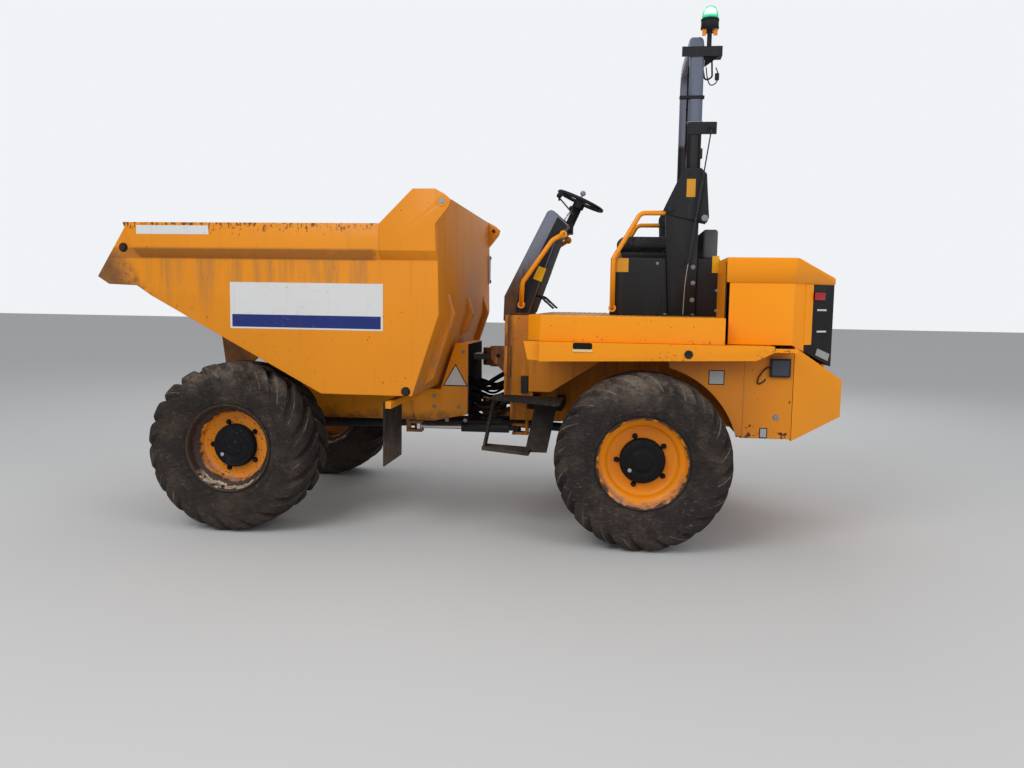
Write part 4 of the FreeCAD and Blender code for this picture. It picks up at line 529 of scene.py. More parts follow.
heads = w.node("GeometryNodeInstanceOnPoints", Points=tree_in.outputs["Points"], Instance=both.outputs[0],
               Rotation=aim.outputs[0])
finish_tree(w, tree_in, tree_out, heads)


def bolts(name, body, slot_name, material, places, radius=0.009, height=0.007, sides=6):
    """Heads at (place, facing) pairs, as one piece on one body."""
    data = bpy.data.meshes.new(name + "_points")
    data.from_pydata([place for place, facing in places], [], [])
    facings = [value for place, facing in places for value in facing]
    data.attributes.new("facing", "FLOAT_VECTOR", "POINT").data.foreach_set("vector", facings)
    data = grown(name, data, bolt_tree, {"Radius": radius, "Height": height, "Sides": sides, "Material": material})
    return settle(new_piece(name, data, corner=30), body, slot_name)


def walls(count):
    """Faces of a plate whose outline has this many points, given for one side and then the other."""
    sides = [(i, (i + 1) % count, count + (i + 1) % count, count + i) for i in range(count)]
    return [tuple(range(count)), tuple(range(count, 2 * count))] + sides


def outward(across, *spots):
    """Places and facings of heads that stand on both sides of the machine, at these (x, z) spots."""
    return [((x, side * across, z), (0, side, 0)) for side in (-1, 1) for x, z in spots]


def plate(name, outline, axis, low, high, material, corner=0.0):
    """Flat plate of a closed outline in the two other axes, from low to high along the named axis."""
    order = {"x": lambda a, b, c: (c, a, b), "y": lambda a, b, c: (a, c, b), "z": lambda a, b, c: (a, b, c)}[axis]
    points = [order(a, b, c) for c in sorted((low, high)) for a, b in outline]
    piece = new_piece(name, built(name, points, walls(len(outline))), material)
    if corner:
        ease_edges(piece, corner, 2, 28)
    return piece


def on_both(name, outline, inner, outer, material, body, slot_name, corner=0.0):
    """A plate on each side of the machine, from inner to outer across it."""
    for side, tag in SIDES:
        settle(plate(f"{name}_{tag}", outline, "y", side * inner, side * outer, material, corner), body, slot_name)


def turned_on_both(name, profile, x, z, steps, material, body, slot_name, corner=30):
    for side, tag in SIDES:
        data = turned(f"{name}_{tag}", profile, (x, 0, z), steps, side)
        settle(new_piece(data.name, data, material, corner), body, slot_name)


def rectangle(a0, a1, b0, b1):
    (a0, a1), (b0, b1) = sorted((a0, a1)), sorted((b0, b1))
    return ((a0, b0), (a1, b0), (a1, b1), (a0, b1))


def stadium(a0, a1, b0, b1, radius):
    """Rectangle with round corners, each of six short edges."""
    (a0, a1), (b0, b1), points = sorted((a0, a1)), sorted((b0, b1)), []
    for ca, cb, start in ((a1 - radius, b1 - radius, 0), (a0 + radius, b1 - radius, 90),
                          (a0 + radius, b0 + radius, 180), (a1 - radius, b0 + radius, 270)):
        for turn in range(7):
            around = math.radians(start + 15 * turn)
            points.append((ca + radius * math.cos(around), cb + radius * math.sin(around)))
    return points


def smooth_path(points):
    """Catmull-Rom points through the given ones, eight for each stretch."""
    ends = [Vector(points[0])] + [Vector(point) for point in points] + [Vector(points[-1])]
    path = []
    for a, b, c, d in zip(ends, ends[1:], ends[2:], ends[3:]):
        for step in range(8):
            t = step / 8
            squared, cubed = (2 * a - 5 * b + 4 * c - d) * t * t, (3 * b - a - 3 * c + d) * t ** 3
            path.append(0.5 * (2 * b + (c - a) * t + squared + cubed))
    return path + [Vector(points[-1])]


def tube(name, points, radius, material, straight=False):
    """Hose, cable or rod along the points, smooth unless it is told to be straight."""
    curve = bpy.data.curves.new(name, "CURVE")
    curve.dimensions, curve.bevel_depth, curve.bevel_resolution, curve.use_fill_caps = "3D", radius, 3, True
    curve.resolution_u = 8
    spline = curve.splines.new("POLY" if straight else "NURBS")
    spline.points.add(len(points) - 1)
    for point, place in zip(spline.points, points):
        point.co = (*place, 1)
    if not straight:
        spline.order_u = 3
        spline.use_endpoint_u = True
    holder = bpy.data.objects.new(name, curve)
    scene.collection.objects.link(holder)
    graph = bpy.context.evaluated_depsgraph_get()
    data = bpy.data.meshes.new_from_object(holder.evaluated_get(graph), depsgraph=graph)
    bpy.data.objects.remove(holder)
    return new_piece(name, data, material, 40)


def free_cord(name, points, radius, body):
    """Cable along a smooth path through the points, as one piece on its body."""
    path = smooth_path(points)
    piece = settle(tube(name, path, radius, cable_black, True), body, "rubber")


# Axles: cast housings with a round differential in the middle, painted black and bolted up under the chassis.
# The cover of each differential is held by a ring of bolts.
axle_black = finish_of("axle_black", (32, 32, 34), 0.6, dirt=(0.62, 0.2, 1.2, 0.4, 0.1), grain=0.3, grain_scale=110)
COVER, COVER_RING = ((-0.012, 0.182), (0.012, 0.182), (0.012, 0.150), (-0.012, 0.150)), 0.174
for axle_name, axle_x, body in (("front", FRONT_AXLE, "front_frame"), ("rear", REAR_AXLE, "rear_frame")):
    paint_node(f"{axle_name}_axle", axle_black)
    cover = turned(f"{axle_name}_axle_cover", COVER, (axle_x, 0, AXLE_HEIGHT), 64)
    settle(new_piece(cover.name, cover, axle_black, 30), body, "axle_black")
    turns = [math.tau * turn / 12 for turn in range(12)]
    ring = [(axle_x + COVER_RING * math.cos(turn), AXLE_HEIGHT + COVER_RING * math.sin(turn)) for turn in turns]
    under = [((axle_x + dx, side * y, AXLE_HEIGHT + 0.07), (0, 0, -1))
             for side in (-1, 1) for dx in (-0.065, 0.065) for y in (0.245, 0.325)]
    bolts(f"{axle_name}_axle_bolts", body, "axle_black", axle_black, outward(COVER[1][0], *ring) + under, 0.009, 0.008)

# Skip: welded steel plate with a folded rim and two eye plates, in the machine's paint, dulled and scratched.
# Mud specks lie along the rim where loads spill, and the inside is brown where they slide out.
SKIP_PAINT = (228, 140, 16)
SKIP_SIDE, RIM_FACE, EYE_FACE = 1.120, 1.176, 1.1785
EYE_X, EYE_Z, EYE_RADIUS = -0.116, 2.233, 0.034


def rim_specks(w, place, clean):
    where = w.apart(place)
    z, x = where["Z"], where["X"]
    low_rim = w.step(x, -0.50, -0.60)
    edge = w.times(w.step(z, 1.985, 2.085), low_rim)
    drip = w.noise(w.stretched(place, (1.6, 1.6, 0.8)), 26, 6, 0.75)
    specks = w.noise(w.stretched(place, (1, 1, 0.7)), 30, 4, 0.7)
    mask = w.larger(w.step(w.plus(drip, w.times(edge, 0.15)), 0.66, 0.70), w.step(specks, 0.685, 0.71))
    streaks = w.noise(w.stretched(place, (9, 9, 0.7)), 1.4, 5, 0.62)
    belt = w.times(w.step(z, 1.42, 1.78), w.step(z, 1.88, 1.84))
    wash = w.times(w.step(streaks, 0.42, 0.66), w.times(belt, w.times(low_rim, 0.55)))
    worn = w.mix(wash, clean, (150, 108, 62))
    ledge = w.times(w.times(w.step(z, 1.845, 1.858), w.step(z, 1.935, 1.915)),
                    w.step(w.plus(streaks, low_rim), 0.9, 1.5))
    worn = w.mix(w.times(ledge, 0.6), worn, (128, 84, 44))
    lip = w.step(w.plus(w.less(w.times(x, -1.0), z), w.times(w.noise(place, 9, 5, 0.7), 0.5)), 0.70, 0.92)
    worn = w.mix(w.times(lip, 0.85), worn, w.mix(w.noise(place, 20, 4), (44, 28, 20), (140, 96, 58)))
    return w.mix(w.times(mask, 0.9), worn, (56, 34, 22))


def scratches(w, place, clean):
    lines = w.noise(w.stretched(place, (2.0, 2.0, 60)), 1.6, 5, 0.7, 0.3)
    return w.mix(w.times(w.step(lines, 0.62, 0.72), 0.35), rim_specks(w, place, clean), (150, 96, 44))


skip_paint = finish_of("skip_paint", SKIP_PAINT, 0.46, coat=0.06, dirt=(0.20, 0.4, 1.5, 0.16, 0.14), variation=0.08,
                       extra=rim_specks)
skip_wall = finish_of("skip_wall_paint", (214, 132, 30), 0.52, coat=0.05, dirt=(0.62, 0.6, 2.3, 0.24, 0.60),
                      mud=((112, 78, 54), (186, 140, 104)), variation=0.09, extra=scratches)
skip_bed = finish_of("skip_bed_steel", (150, 104, 58), 0.55, metal=0.2, dirt=(0.9, 0.2, 2.3, 0.55, 0.3),
                     mud=((84, 64, 48), (142, 112, 80)), extra=scratches)
for finish, nodes in ((skip_paint, ("skip_sides", "skip_rims", "skip_rear_flanges", "skip_brackets")),
                      (skip_wall, ("skip_rear_wall", "skip_chute", "skip_ribs")), (skip_bed, ("skip_floor",))):
    for node in nodes:
        rounded_copy(node, finish, 0.005, 2)


def scuffed(colour):
    """Printed vinyl, scratched and dusty."""
    def marks(w, place, clean):
        return w.mix(w.times(w.step(w.noise(w.stretched(place, (3, 3, 9)), 7, 6, 0.75), 0.60, 0.70), 0.55), clean,
                     (150, 128, 104))
    return finish_of("vinyl_%d_%d_%d" % colour, colour, 0.5, dirt=(0.22, 0.4, 2.4, 0.14, 0.10), specular=0.2,
                     extra=marks)


vinyl_white, vinyl_blue, vinyl_black, vinyl_yellow, vinyl_grey = (
    scuffed(colour) for colour in ((212, 212, 212), (34, 48, 112), (20, 20, 23), (222, 166, 22), (158, 158, 156)))
hole_dark = finish_of("hole_dark", (20, 18, 16), 0.9, dirt=(0.2, 0.3, 2.0, 0.0, 0.0))
round_turns = [math.tau * step / 32 for step in range(32)]
eye_outline = [(EYE_X + EYE_RADIUS * math.cos(turn), EYE_Z + EYE_RADIUS * math.sin(turn)) for turn in round_turns]
on_both("sign_white", rectangle(-1.576, -0.518, 1.391, 1.701), SKIP_SIDE, SKIP_SIDE + STICKER, vinyl_white, *ON_SKIP)
on_both("sign_band", rectangle(-1.562, -0.532, 1.402, 1.486), SKIP_SIDE, SKIP_SIDE + 1.5 * STICKER, vinyl_blue,
        *ON_SKIP)
on_both("rim_label", rectangle(-2.205, -1.695, 2.012, 2.070), RIM_FACE, RIM_FACE + STICKER, vinyl_white, *ON_SKIP)
on_both("eye_boss", eye_outline, RIM_FACE, RIM_FACE + 0.003, skip_paint, *ON_SKIP)
settle(plate("wall_strip", rectangle(1.053, 1.108, 1.760, 2.010), "x", -0.1450, -0.1340, vinyl_white, 0.002), *ON_SKIP)
bolts("strip_bolts", *ON_SKIP, hole_dark, [((-0.1340, 1.080, z), (1, 0, 0)) for z in (1.780, 1.990)], 0.011, 0.008)
pivot_dark = finish_of("pivot_dark", (46, 30, 24), 0.7, dirt=(0.3, 0.3, 2.4, 0.2, 0.0))
bolts("skip_side_bolts", *ON_SKIP, pivot_dark,
      outward(SKIP_SIDE, (-2.335, 1.925), (-0.361, 0.993)), 0.021, 0.012, 20)
bolts("skip_eye_rings", *ON_SKIP, vinyl_grey, outward(EYE_FACE, (EYE_X, EYE_Z)), 0.014, 0.004, 24)
weld_bead = finish_of("weld_bead", (206, 128, 30), 0.5, dirt=(0.5, 0.4, 2.2, 0.2, 0.2),
                      relief_of=lambda w, place: w.times(w.noise(place, 150, 1), 4.0))
WALL_FOOT, WALL_FOLD, WALL_TOP = (-0.320, 0.962), (-0.143, 1.507), (-0.162, 2.312)


def on_wall(y, z):
    """Point just behind the skip's rear wall, which is folded once."""
    (x0, z0), (x1, z1) = (WALL_FOOT, WALL_FOLD) if z < WALL_FOLD[1] else (WALL_FOLD, WALL_TOP)
    return (x0 + (x1 - x0) * (z - z0) / (z1 - z0) + 0.001, y, z)


for index, (rib_y, foot) in enumerate(((-0.78, 1.010), (0.0, 1.330), (0.78, 1.010))):
    for letter, edge in (("a", -0.031), ("b", 0.031)):
        line = [on_wall(rib_y + edge, z) for z in (foot, WALL_FOLD[1], 1.640)]
        settle(tube(f"rib_weld_{index}_{letter}", line, 0.004, weld_bead, True), *ON_SKIP)

# Front chassis: two plate rails with a tower at the back that carries the articulation, welded and painted.
# It is spattered from the wheels, and a blank warning triangle is stuck on each side of the tower.
TOWER_SIDE = 0.324


def tower_dirt_and_shade(w, place, clean):
    """Dirt on the tower's low edge, and painted shade on everything behind it, between the tower and the bulkhead."""
    where = w.apart(place)
    # Painted shade: everything behind the tower's back face is darkened as the shadow between the tower and the
    # bulkhead.
    behind = w.step(where["X"], -0.0846, -0.0838)
    foot = w.step(w.plus(where["Z"], w.times(w.noise(place, 11, 5, 0.65), 0.22)), 0.90, 0.78)
    return w.mix(w.larger(behind, w.times(foot, 0.75)), clean, w.mix(w.noise(place, 16, 5, 0.7), (30, 24, 21),
            (84, 62, 46)))


frame_paint = finish_of("frame_paint", (232, 144, 14), 0.42, coat=0.1, dirt=(0.36, 0.5, 1.5, 0.26, 0.25),
                        extra=tower_dirt_and_shade)
rounded_copy("front_chassis", frame_paint, 0.003, 2)
zinc = finish_of("zinc_fastener", (150, 146, 138), 0.45, metal=0.6, dirt=(0.35, 0.3, 1.6, 0.1, 0.1))
for name, triangle, lift, finish in (
        ("tower_sign_edge", ((-0.275, 0.958), (-0.082, 0.958), (-0.178, 1.128)), 0.0010, vinyl_black),
        ("tower_sign", ((-0.262, 0.966), (-0.095, 0.966), (-0.178, 1.113)), 0.0016, vinyl_white)):
    on_both(name, triangle, TOWER_SIDE, TOWER_SIDE + lift, finish, *ON_FRONT)
PIN_CAP = ((0.420, 0.0), (0.420, 0.030), (0.413, 0.036), (0.405, 0.036), (0.405, 0.0))
turned_on_both("tip_pin_cap", PIN_CAP, -1.883, 1.020, 40, zinc, *ON_FRONT)
bolts("front_chassis_bolts", *ON_FRONT, zinc,
      outward(TOWER_SIDE, (-0.34, 0.80), (-0.15, 0.80), (-0.34, 0.88), (-0.12, 1.22), (-0.24, 0.70), (-0.10, 0.70))
      + [((-0.503, side * y, 0.902), (-1, 0, 0)) for side in (-1, 1) for y in (0.76, 0.90, 1.04, 1.13)], 0.010, 0.008)

# Mudflaps: sheets of black rubber, bolted under an arm behind each front tyre.
# They are stiff, and caked with mud.
rubber = finish_of("rubber_sheet", (30, 29, 28), 0.85, dirt=(0.75, 0.3, 1.3, 0.45, 0.4), grain=0.3, grain_scale=160)
rounded_copy("front_mudflaps", rubber, 0.003, 2)

# Tipping and steering rams: black tubes with chromed rods, pinned at both ends.
# The gland of each is a screwed ring, and dust sticks to the oil around it.
ram_black = finish_of("ram_black", (34, 34, 36), 0.45, dirt=(0.5, 0.3, 1.3, 0.35, 0.15))
chrome_rod = finish_of("chrome_rod", (205, 208, 212), 0.16, metal=1.0, dirt=(0.12, 0.3, 1.3, 0.15, 0.1))
for node in ("tip_ram_barrels", "steer_ram_barrel_left", "steer_ram_barrel_right", "front_prop_shaft",
             "rear_prop_shaft"):
    paint_node(node, ram_black)
for node in ("tip_ram_rods", "steer_ram_rod_left", "steer_ram_rod_right"):
    paint_node(node, chrome_rod)

# Rear chassis: deep side plates, a box bulkhead with an ear on each side, and the yoke of the articulation.
# Mud from the front wheels cakes the bulkhead below the platform.
def bulkhead_streaks(w, place, clean):
    """Brown runs down the front of the bulkhead, thinner towards its sides."""
    where = w.apart(place)
    front = w.step(where["X"], 0.30, 0.25)
    runs = w.noise(w.stretched(place, (16, 16, 1.1)), 1.5, 6, 0.68)
    caked = w.times(w.step(w.plus(runs, w.times(w.noise(place, 5, 3), 0.3)), 0.46, 0.68),
                    w.plus(w.times(front, 0.6), 0.35))
    return w.mix(caked, clean, w.mix(w.noise(place, 24, 4), (58, 33, 20), (118, 68, 34)))


bulkhead_paint = finish_of("bulkhead_paint", (222, 136, 16), 0.5, dirt=(0.60, 0.3, 1.75, 0.4, 0.5),
                           mud=((58, 42, 32), (112, 80, 54)), extra=bulkhead_streaks)
guard_paint = finish_of("guard_paint", (204, 126, 24), 0.5, dirt=(0.35, 0.3, 1.75, 0.2, 0.35),
                        mud=((92, 58, 32), (150, 100, 52)))
hose_black = finish_of("hose_black", (20, 18, 17), 0.95, specular=0.05, dirt=(0.7, 0.3, 1.5, 0.4, 0.0))
rounded_copy("rear_chassis", bulkhead_paint, 0.003, 2)
bolts("rear_chassis_bolts", *ON_REAR, zinc,
      outward(0.330, (0.50, 1.24), (0.50, 0.80), (0.62, 1.24), (1.45, 1.02), (1.60, 1.02), (1.45, 0.80), (1.60, 0.80))
      + [((0.222, y, z), (-1, 0, 0)) for y in (-0.50, -0.38, 0.38, 0.50) for z in (1.0, 1.2, 1.4)], 0.011, 0.008)
BRACKET = ((0.346, 1.072), (0.396, 1.072), (0.399, 0.948), (0.348, 0.946))
settle(plate("bulkhead_bracket_left", BRACKET, "y", -0.585, -0.560, ram_black, 0.003), *ON_REAR)
GUARD = ((0.402, 0.960), (0.560, 0.960), (0.900, 1.180), (0.900, 1.335), (0.402, 1.335))
on_both("side_guard", GUARD, 0.572, 0.578, guard_paint, *ON_REAR, 0.002)
# A black sheet behind the tower: painted shade in the gap between the tower and the bulkhead, among the hoses.
settle(plate("tower_shadow_sheet", rectangle(-0.300, 0.300, 0.700, 1.272), "x", -0.0832, -0.0800, hose_black), "front_frame",
       "rubber")
# columns: place across, height, lift of its middle, radius
HOSES = ((-0.070, 0.900, 0.030, 0.012), (-0.105, 0.860, -0.055, 0.012), (-0.150, 0.955, 0.050, 0.010),
         (-0.190, 0.820, -0.030, 0.010), (0.085, 0.880, 0.020, 0.012), (0.130, 0.940, -0.020, 0.010),
         (-0.225, 1.060, -0.030, 0.018), (-0.215, 0.985, 0.020, 0.016), (-0.210, 0.900, -0.020, 0.018),
         (-0.200, 0.770, 0.000, 0.016), (0.210, 0.980, 0.000, 0.018), (0.220, 0.840, 0.000, 0.018))
HOSE_FRONT, HOSE_REAR = -0.060, 0.130     # the bend lies between these
for index, (y, z, lift, radius) in enumerate(HOSES):
    line = [(-0.150, y, z), (HOSE_FRONT, y * 1.15, z - 0.02 + lift), (0.040, y * 1.3, z - 0.07 + lift),
            (HOSE_REAR, y * 1.2, z - 0.03), (0.225, y, z + 0.02)]
    hose = tube(f"articulation_hose_{index}", line, radius, hose_black)
    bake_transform(hose)

# Steps: two folded treads on leaning hangers, dark paint under a thick layer of mud.
# Raised studs on the treads grip the boot.
step_dark = finish_of("step_dark", (34, 29, 27), 0.8, dirt=(0.85, 0.2, 1.3, 0.62, 0.3),
                      mud=((44, 35, 30), (100, 87, 78)), relief_of=lambda w, place: w.times(w.noise(place, 22, 5, 0.7),
                              2.5))
rounded_copy("steps", step_dark, 0.004, 2)
STUD_SPACING, STUD_RADIUS = 0.034, 0.006
stud_tree, tree_in, tree_out = named_group("studs_on_a_tread", "GeometryNodeTree", [
    ("Tread", "Geometry", None), ("Material", "Material", None)], [("Studs", "Geometry")])
w = Wiring(stud_tree)
spread = w.node("GeometryNodeDistributePointsOnFaces", {"distribute_method": "POISSON"}, Mesh=tree_in.outputs["Tread"],
                Density_Max=900.0, Distance_Min=STUD_SPACING, Seed=4)
stud = w.node("GeometryNodeMeshCone", Vertices=8, Radius_Top=0.6 * STUD_RADIUS, Radius_Bottom=STUD_RADIUS, Depth=0.004)
studs = w.node("GeometryNodeInstanceOnPoints", Points=spread.outputs["Points"], Instance=stud.outputs["Mesh"])
finish_tree(w, tree_in, tree_out, studs)
TREADS = ((0.940, ((0.18, -0.785), (0.63, -1.005), (0.65, -0.72), (0.18, -0.64))),
          (0.585, ((0.11, -0.780), (0.43, -0.925), (0.43, -0.75), (0.11, -0.655))))
tread_points = [(x, side * y, z) for side in (1, -1) for z, corners in TREADS for x, y in corners]
tread_faces = [(0, 1, 2, 3), (4, 5, 6, 7), (11, 10, 9, 8), (15, 14, 13, 12)]
tread_sheet = bpy.data.meshes.new("tread_sheet")
tread_sheet.from_pydata(tread_points, [], tread_faces)
settle(new_piece("step_studs", grown("step_studs", tread_sheet, stud_tree, {"Material": step_dark}), corner=40),
       "rear_frame", "step_dark")

# Platform: a welded deck of plate with deep skirts, painted, with raised tears pressed into the walking surface.
# Mud thrown up by the tyres specks the lower edge of its skirt.
PAINT = (244, 150, 4)


def skirt_specks(w, place, clean):
    z = w.apart(place)["Z"]
    low_edge = w.times(w.step(z, 1.42, 1.33), w.step(w.noise(place, 2.6, 3), 0.42, 0.6))
    specks = w.step(w.plus(w.noise(place, 46, 4, 0.7), w.times(low_edge, 0.10)), 0.66, 0.70)
    return w.mix(w.times(specks, 0.85), clean, (120, 84, 52))


deck_paint = finish_of("deck_paint", PAINT, 0.38, coat=0.12, dirt=(0.16, 0.9, 1.7, 0.16, 0.05), variation=0.04,
                       extra=skirt_specks)
deck_floor = finish_of("deck_floor_paint", (196, 132, 34), 0.55, dirt=(0.85, 1.3, 1.7, 0.5, 0.1),
                       mud=((78, 64, 52), (134, 112, 90)))
rounded_copy("platform", deck_paint, 0.006, 3)
TEAR_LENGTH, TEAR_WIDTH, TEAR_STEP = 0.020, 0.004, 0.045
tear_tree, tree_in, tree_out = named_group("raised_tears", "GeometryNodeTree", [
    ("Points", "Geometry", None), ("Material", "Material", None)], [("Tears", "Geometry")])
w = Wiring(tear_tree)
tear = w.node("GeometryNodeMeshCone", Vertices=8, Radius_Top=0.5 * TEAR_WIDTH, Radius_Bottom=TEAR_WIDTH, Depth=0.0022)
turn = w.node("GeometryNodeInputNamedAttribute", {"data_type": "FLOAT"}, Name="turn")
tear_turn = w.node("FunctionNodeEulerToRotation", Euler=w.node("ShaderNodeCombineXYZ", Z=turn.outputs[0]).outputs[0])
tears = w.node("GeometryNodeInstanceOnPoints", Points=tree_in.outputs["Points"], Instance=tear.outputs["Mesh"],
               Rotation=tear_turn.outputs[0], Scale=(TEAR_LENGTH / TEAR_WIDTH, 1.0, 1.0))
finish_tree(w, tree_in, tree_out, tears)
DECK_TOP, DECK_FRONT, DECK_BACK, DECK_HALF, DECK_CORNER = 1.515, 0.432, 1.707, 1.050, 0.11
tear_spots = []
for row in range(28):
    for column in range(47):
        x, y = DECK_FRONT + 0.03 + row * TEAR_STEP, -1.035 + column * TEAR_STEP
        cut_corner = x - DECK_FRONT < DECK_CORNER and abs(y) > DECK_HALF - DECK_CORNER + (x - DECK_FRONT)
        if x < DECK_BACK - 0.02 and not cut_corner and not (x > 0.945 and abs(y) < 0.51):
            tear_spots.append((x, y, DECK_TOP, math.pi / 4 * (1 if (row + column) % 2 else -1)))
tear_points = bpy.data.meshes.new("tear_points")
tear_points.from_pydata([spot[:3] for spot in tear_spots], [], [])
tear_points.attributes.new("turn", "FLOAT", "POINT").data.foreach_set("value", [spot[3] for spot in tear_spots])
settle(new_piece("deck_tears", grown("deck_tears", tear_points, tear_tree, {"Material": deck_floor}), corner=50),
       *ON_REAR)
WALKWAY = ((0.560, -1.0), (1.690, -1.0), (1.690, -0.49), (0.955, -0.49), (0.955, 0.49), (1.690, 0.49), (1.690, 1.0),
           (0.560, 1.0), (0.445, 0.9), (0.445, -0.9))
settle(plate("deck_walkway", WALKWAY, "z", DECK_TOP, DECK_TOP + 0.0008, deck_floor), *ON_REAR)

# Fenders: a flat plate over each rear tyre with a rolled edge, welded on below the platform, in the same paint.
# A step hole with a lipped edge and a black plug are let into the edge.
rounded_copy("fenders", deck_paint, 0.006, 3)
FENDER_FACE = 1.110
lip_cream = finish_of("lip_cream", (226, 196, 138), 0.5, dirt=(0.3, 0.3, 1.6, 0.3, 0.0))
plug_black = finish_of("plug_black", (28, 26, 26), 0.5, dirt=(0.3, 0.3, 1.6, 0.2, 0.0))
PLUG = ((1.110, 0.0), (1.114, 0.0), (1.115, 0.018), (1.117, 0.022), (1.115, 0.027), (1.110, 0.027))
# The step hole is a dark plate on the fender's face: painted shade for the inside of the hole.
for name, outline, inner, outer, finish, corner in (
        ("fender_hole", stadium(0.739, 0.864, 1.300, 1.342, 0.012), FENDER_FACE, 1.111, hole_dark, 0.0),
        ("fender_hole_lip", stadium(0.738, 0.868, 1.282, 1.300, 0.008), FENDER_FACE, 1.118, lip_cream, 0.003),
        ("fender_front", ((0.412, 1.343), (0.540, 1.343), (0.540, 1.216), (0.440, 1.222)), 1.050, 1.060, deck_paint,
         0.002)):
    on_both(name, outline, inner, outer, finish, *ON_REAR, corner)
turned_on_both("fender_plug", PLUG, 1.476, 1.282, 32, plug_black, *ON_REAR, 35)

# Side boxes: folded plate boxes ahead of the counterweight, painted a darker orange for painted shade under the fender,
# and brown with mud thrown by the rear tyres.
# Stones have chipped the lower edge down to rust, and two blank labels are stuck on.
def stone_chips(w, place, clean):
    z = w.apart(place)["Z"]
    near_edge = w.step(z, 0.86, 0.735)
    chips = w.step(w.plus(w.noise(place, 24, 5, 0.68), w.times(near_edge, 0.13)), 0.66, 0.69)
    brown = w.mix(w.times(w.step(w.apart(place)["X"], 2.10, 1.80), 0.5), clean, (172, 102, 30))
    return w.mix(chips, brown, (74, 30, 16))


# This paint is darker than the counterweight's: partly dirt, partly painted shade under the fender.
side_box_paint_and_shade = finish_of("side_box_paint_and_shade", (216, 130, 16), 0.46, coat=0.05, dirt=(0.30, 0.5, 1.5, 0.16, 0.30),
                           mud=((128, 88, 48), (190, 132, 66)), extra=stone_chips)
rounded_copy("side_boxes", side_box_paint_and_shade, 0.006, 2)
SIDE_FACE, SKIN, ARCH_RADIUS, LABEL_EDGE = 0.9525, 0.003, 0.625, 0.006
arch_turns = [math.radians(turn) for turn in range(15, 77, 3)]
arch = [(REAR_AXLE + ARCH_RADIUS * math.cos(turn), AXLE_HEIGHT + ARCH_RADIUS * math.sin(turn)) for turn in arch_turns]
for name, outline in (("box_skin", rectangle(1.850, 2.158, 0.736, 1.294)),
                      ("arch_panel", [(1.846, 1.296), (1.846, 0.740)] + arch + [(1.350, 1.296)])):
    on_both(name, outline, SIDE_FACE - SKIN, SIDE_FACE, side_box_paint_and_shade, *ON_REAR, 0.001)
for name, x0, x1, z0, z1 in (("box_label", 1.959, 2.010, 0.738, 0.806), ("arch_label", 1.622, 1.724, 1.080, 1.176)):
    inside = rectangle(x0 + LABEL_EDGE, x1 - LABEL_EDGE, z0 + LABEL_EDGE, z1 - LABEL_EDGE)
    on_both(name + "_edge", rectangle(x0, x1, z0, z1), SIDE_FACE, SIDE_FACE + 0.0008, vinyl_black, *ON_REAR)
    on_both(name, inside, SIDE_FACE, SIDE_FACE + 0.0014, vinyl_grey, *ON_REAR)
bolts("box_bolts", *ON_REAR, zinc, outward(SIDE_FACE, (2.059, 0.877)), 0.014, 0.008, 5)

# Marker lamps: a black moulded box on each side, with a ribbed glass, under a bent bracket that is full of mud.
# The cable of each hangs in a short loop to the side box.
lamp_black = finish_of("lamp_black", (30, 34, 40), 0.35, dirt=(0.3, 0.6, 1.6, 0.2, 0.05))
lamp_glass = finish_of("lamp_glass", (58, 66, 74), 0.15, coat=0.6, dirt=(0.35, 0.6, 1.6, 0.3, 0.05),
                       relief_of=lambda w, place: w.times(w.math("SINE", w.times(w.apart(place)["X"], 900)), 0.4))
bracket_mud = finish_of("bracket_mud", (170, 116, 70), 0.7, dirt=(0.95, 0.6, 2.0, 0.4, 0.0),
                        mud=((120, 88, 70), (186, 150, 124)))
cable_black = finish_of("cable_black", (34, 30, 30), 0.55, dirt=(0.45, 0.6, 2.0, 0.3, 0.0))
rounded_copy("side_lamps", lamp_black, 0.007, 3)
LAMP_FACE = 0.980
MARKER_LOOP = ((2.009, 0.968, 1.203), (1.990, 0.969, 1.202), (1.966, 0.968, 1.179), (1.941, 0.964, 1.140),
               (1.933, 0.960, 1.104), (1.946, 0.957, 1.094), (1.975, 0.955, 1.112), (1.984, 0.954, 1.126))
on_both("marker_lens", stadium(2.020, 2.124, 1.152, 1.250, 0.010), LAMP_FACE, LAMP_FACE + 0.004, lamp_glass, *ON_REAR,
        0.0015)
for side, tag in SIDES:
    shelf = rectangle(2.004, 2.146, side * SIDE_FACE, side * (LAMP_FACE + 0.004))
    settle(plate(f"marker_bracket_{tag}", shelf, "z", 1.2625, 1.2665, bracket_mud, 0.001), *ON_REAR)
    free_cord(f"marker_cable_{tag}", [(x, side * y, z) for x, y, z in MARKER_LOOP], 0.0045, "rear_frame")

# Counterweight: one heavy iron casting with slanted corners and rounded edges, thickly painted.
# The engine and the transmission ahead of it are closed blocks of bare iron.
casting_paint = finish_of("casting_paint", (238, 146, 2), 0.40, coat=0.12, dirt=(0.14, 0.5, 1.4, 0.14, 0.03),
                          variation=0.03, grain=0.10, grain_scale=70)
rounded_copy("counterweight", casting_paint, 0.013, 4)
iron = finish_of("engine_iron", (74, 74, 76), 0.65, dirt=(0.6, 0.5, 1.8, 0.3, 0.1), grain=0.3, grain_scale=80)
for node in ("engine_block", "transmission"):
    rounded_copy(node, iron, 0.012, 2)

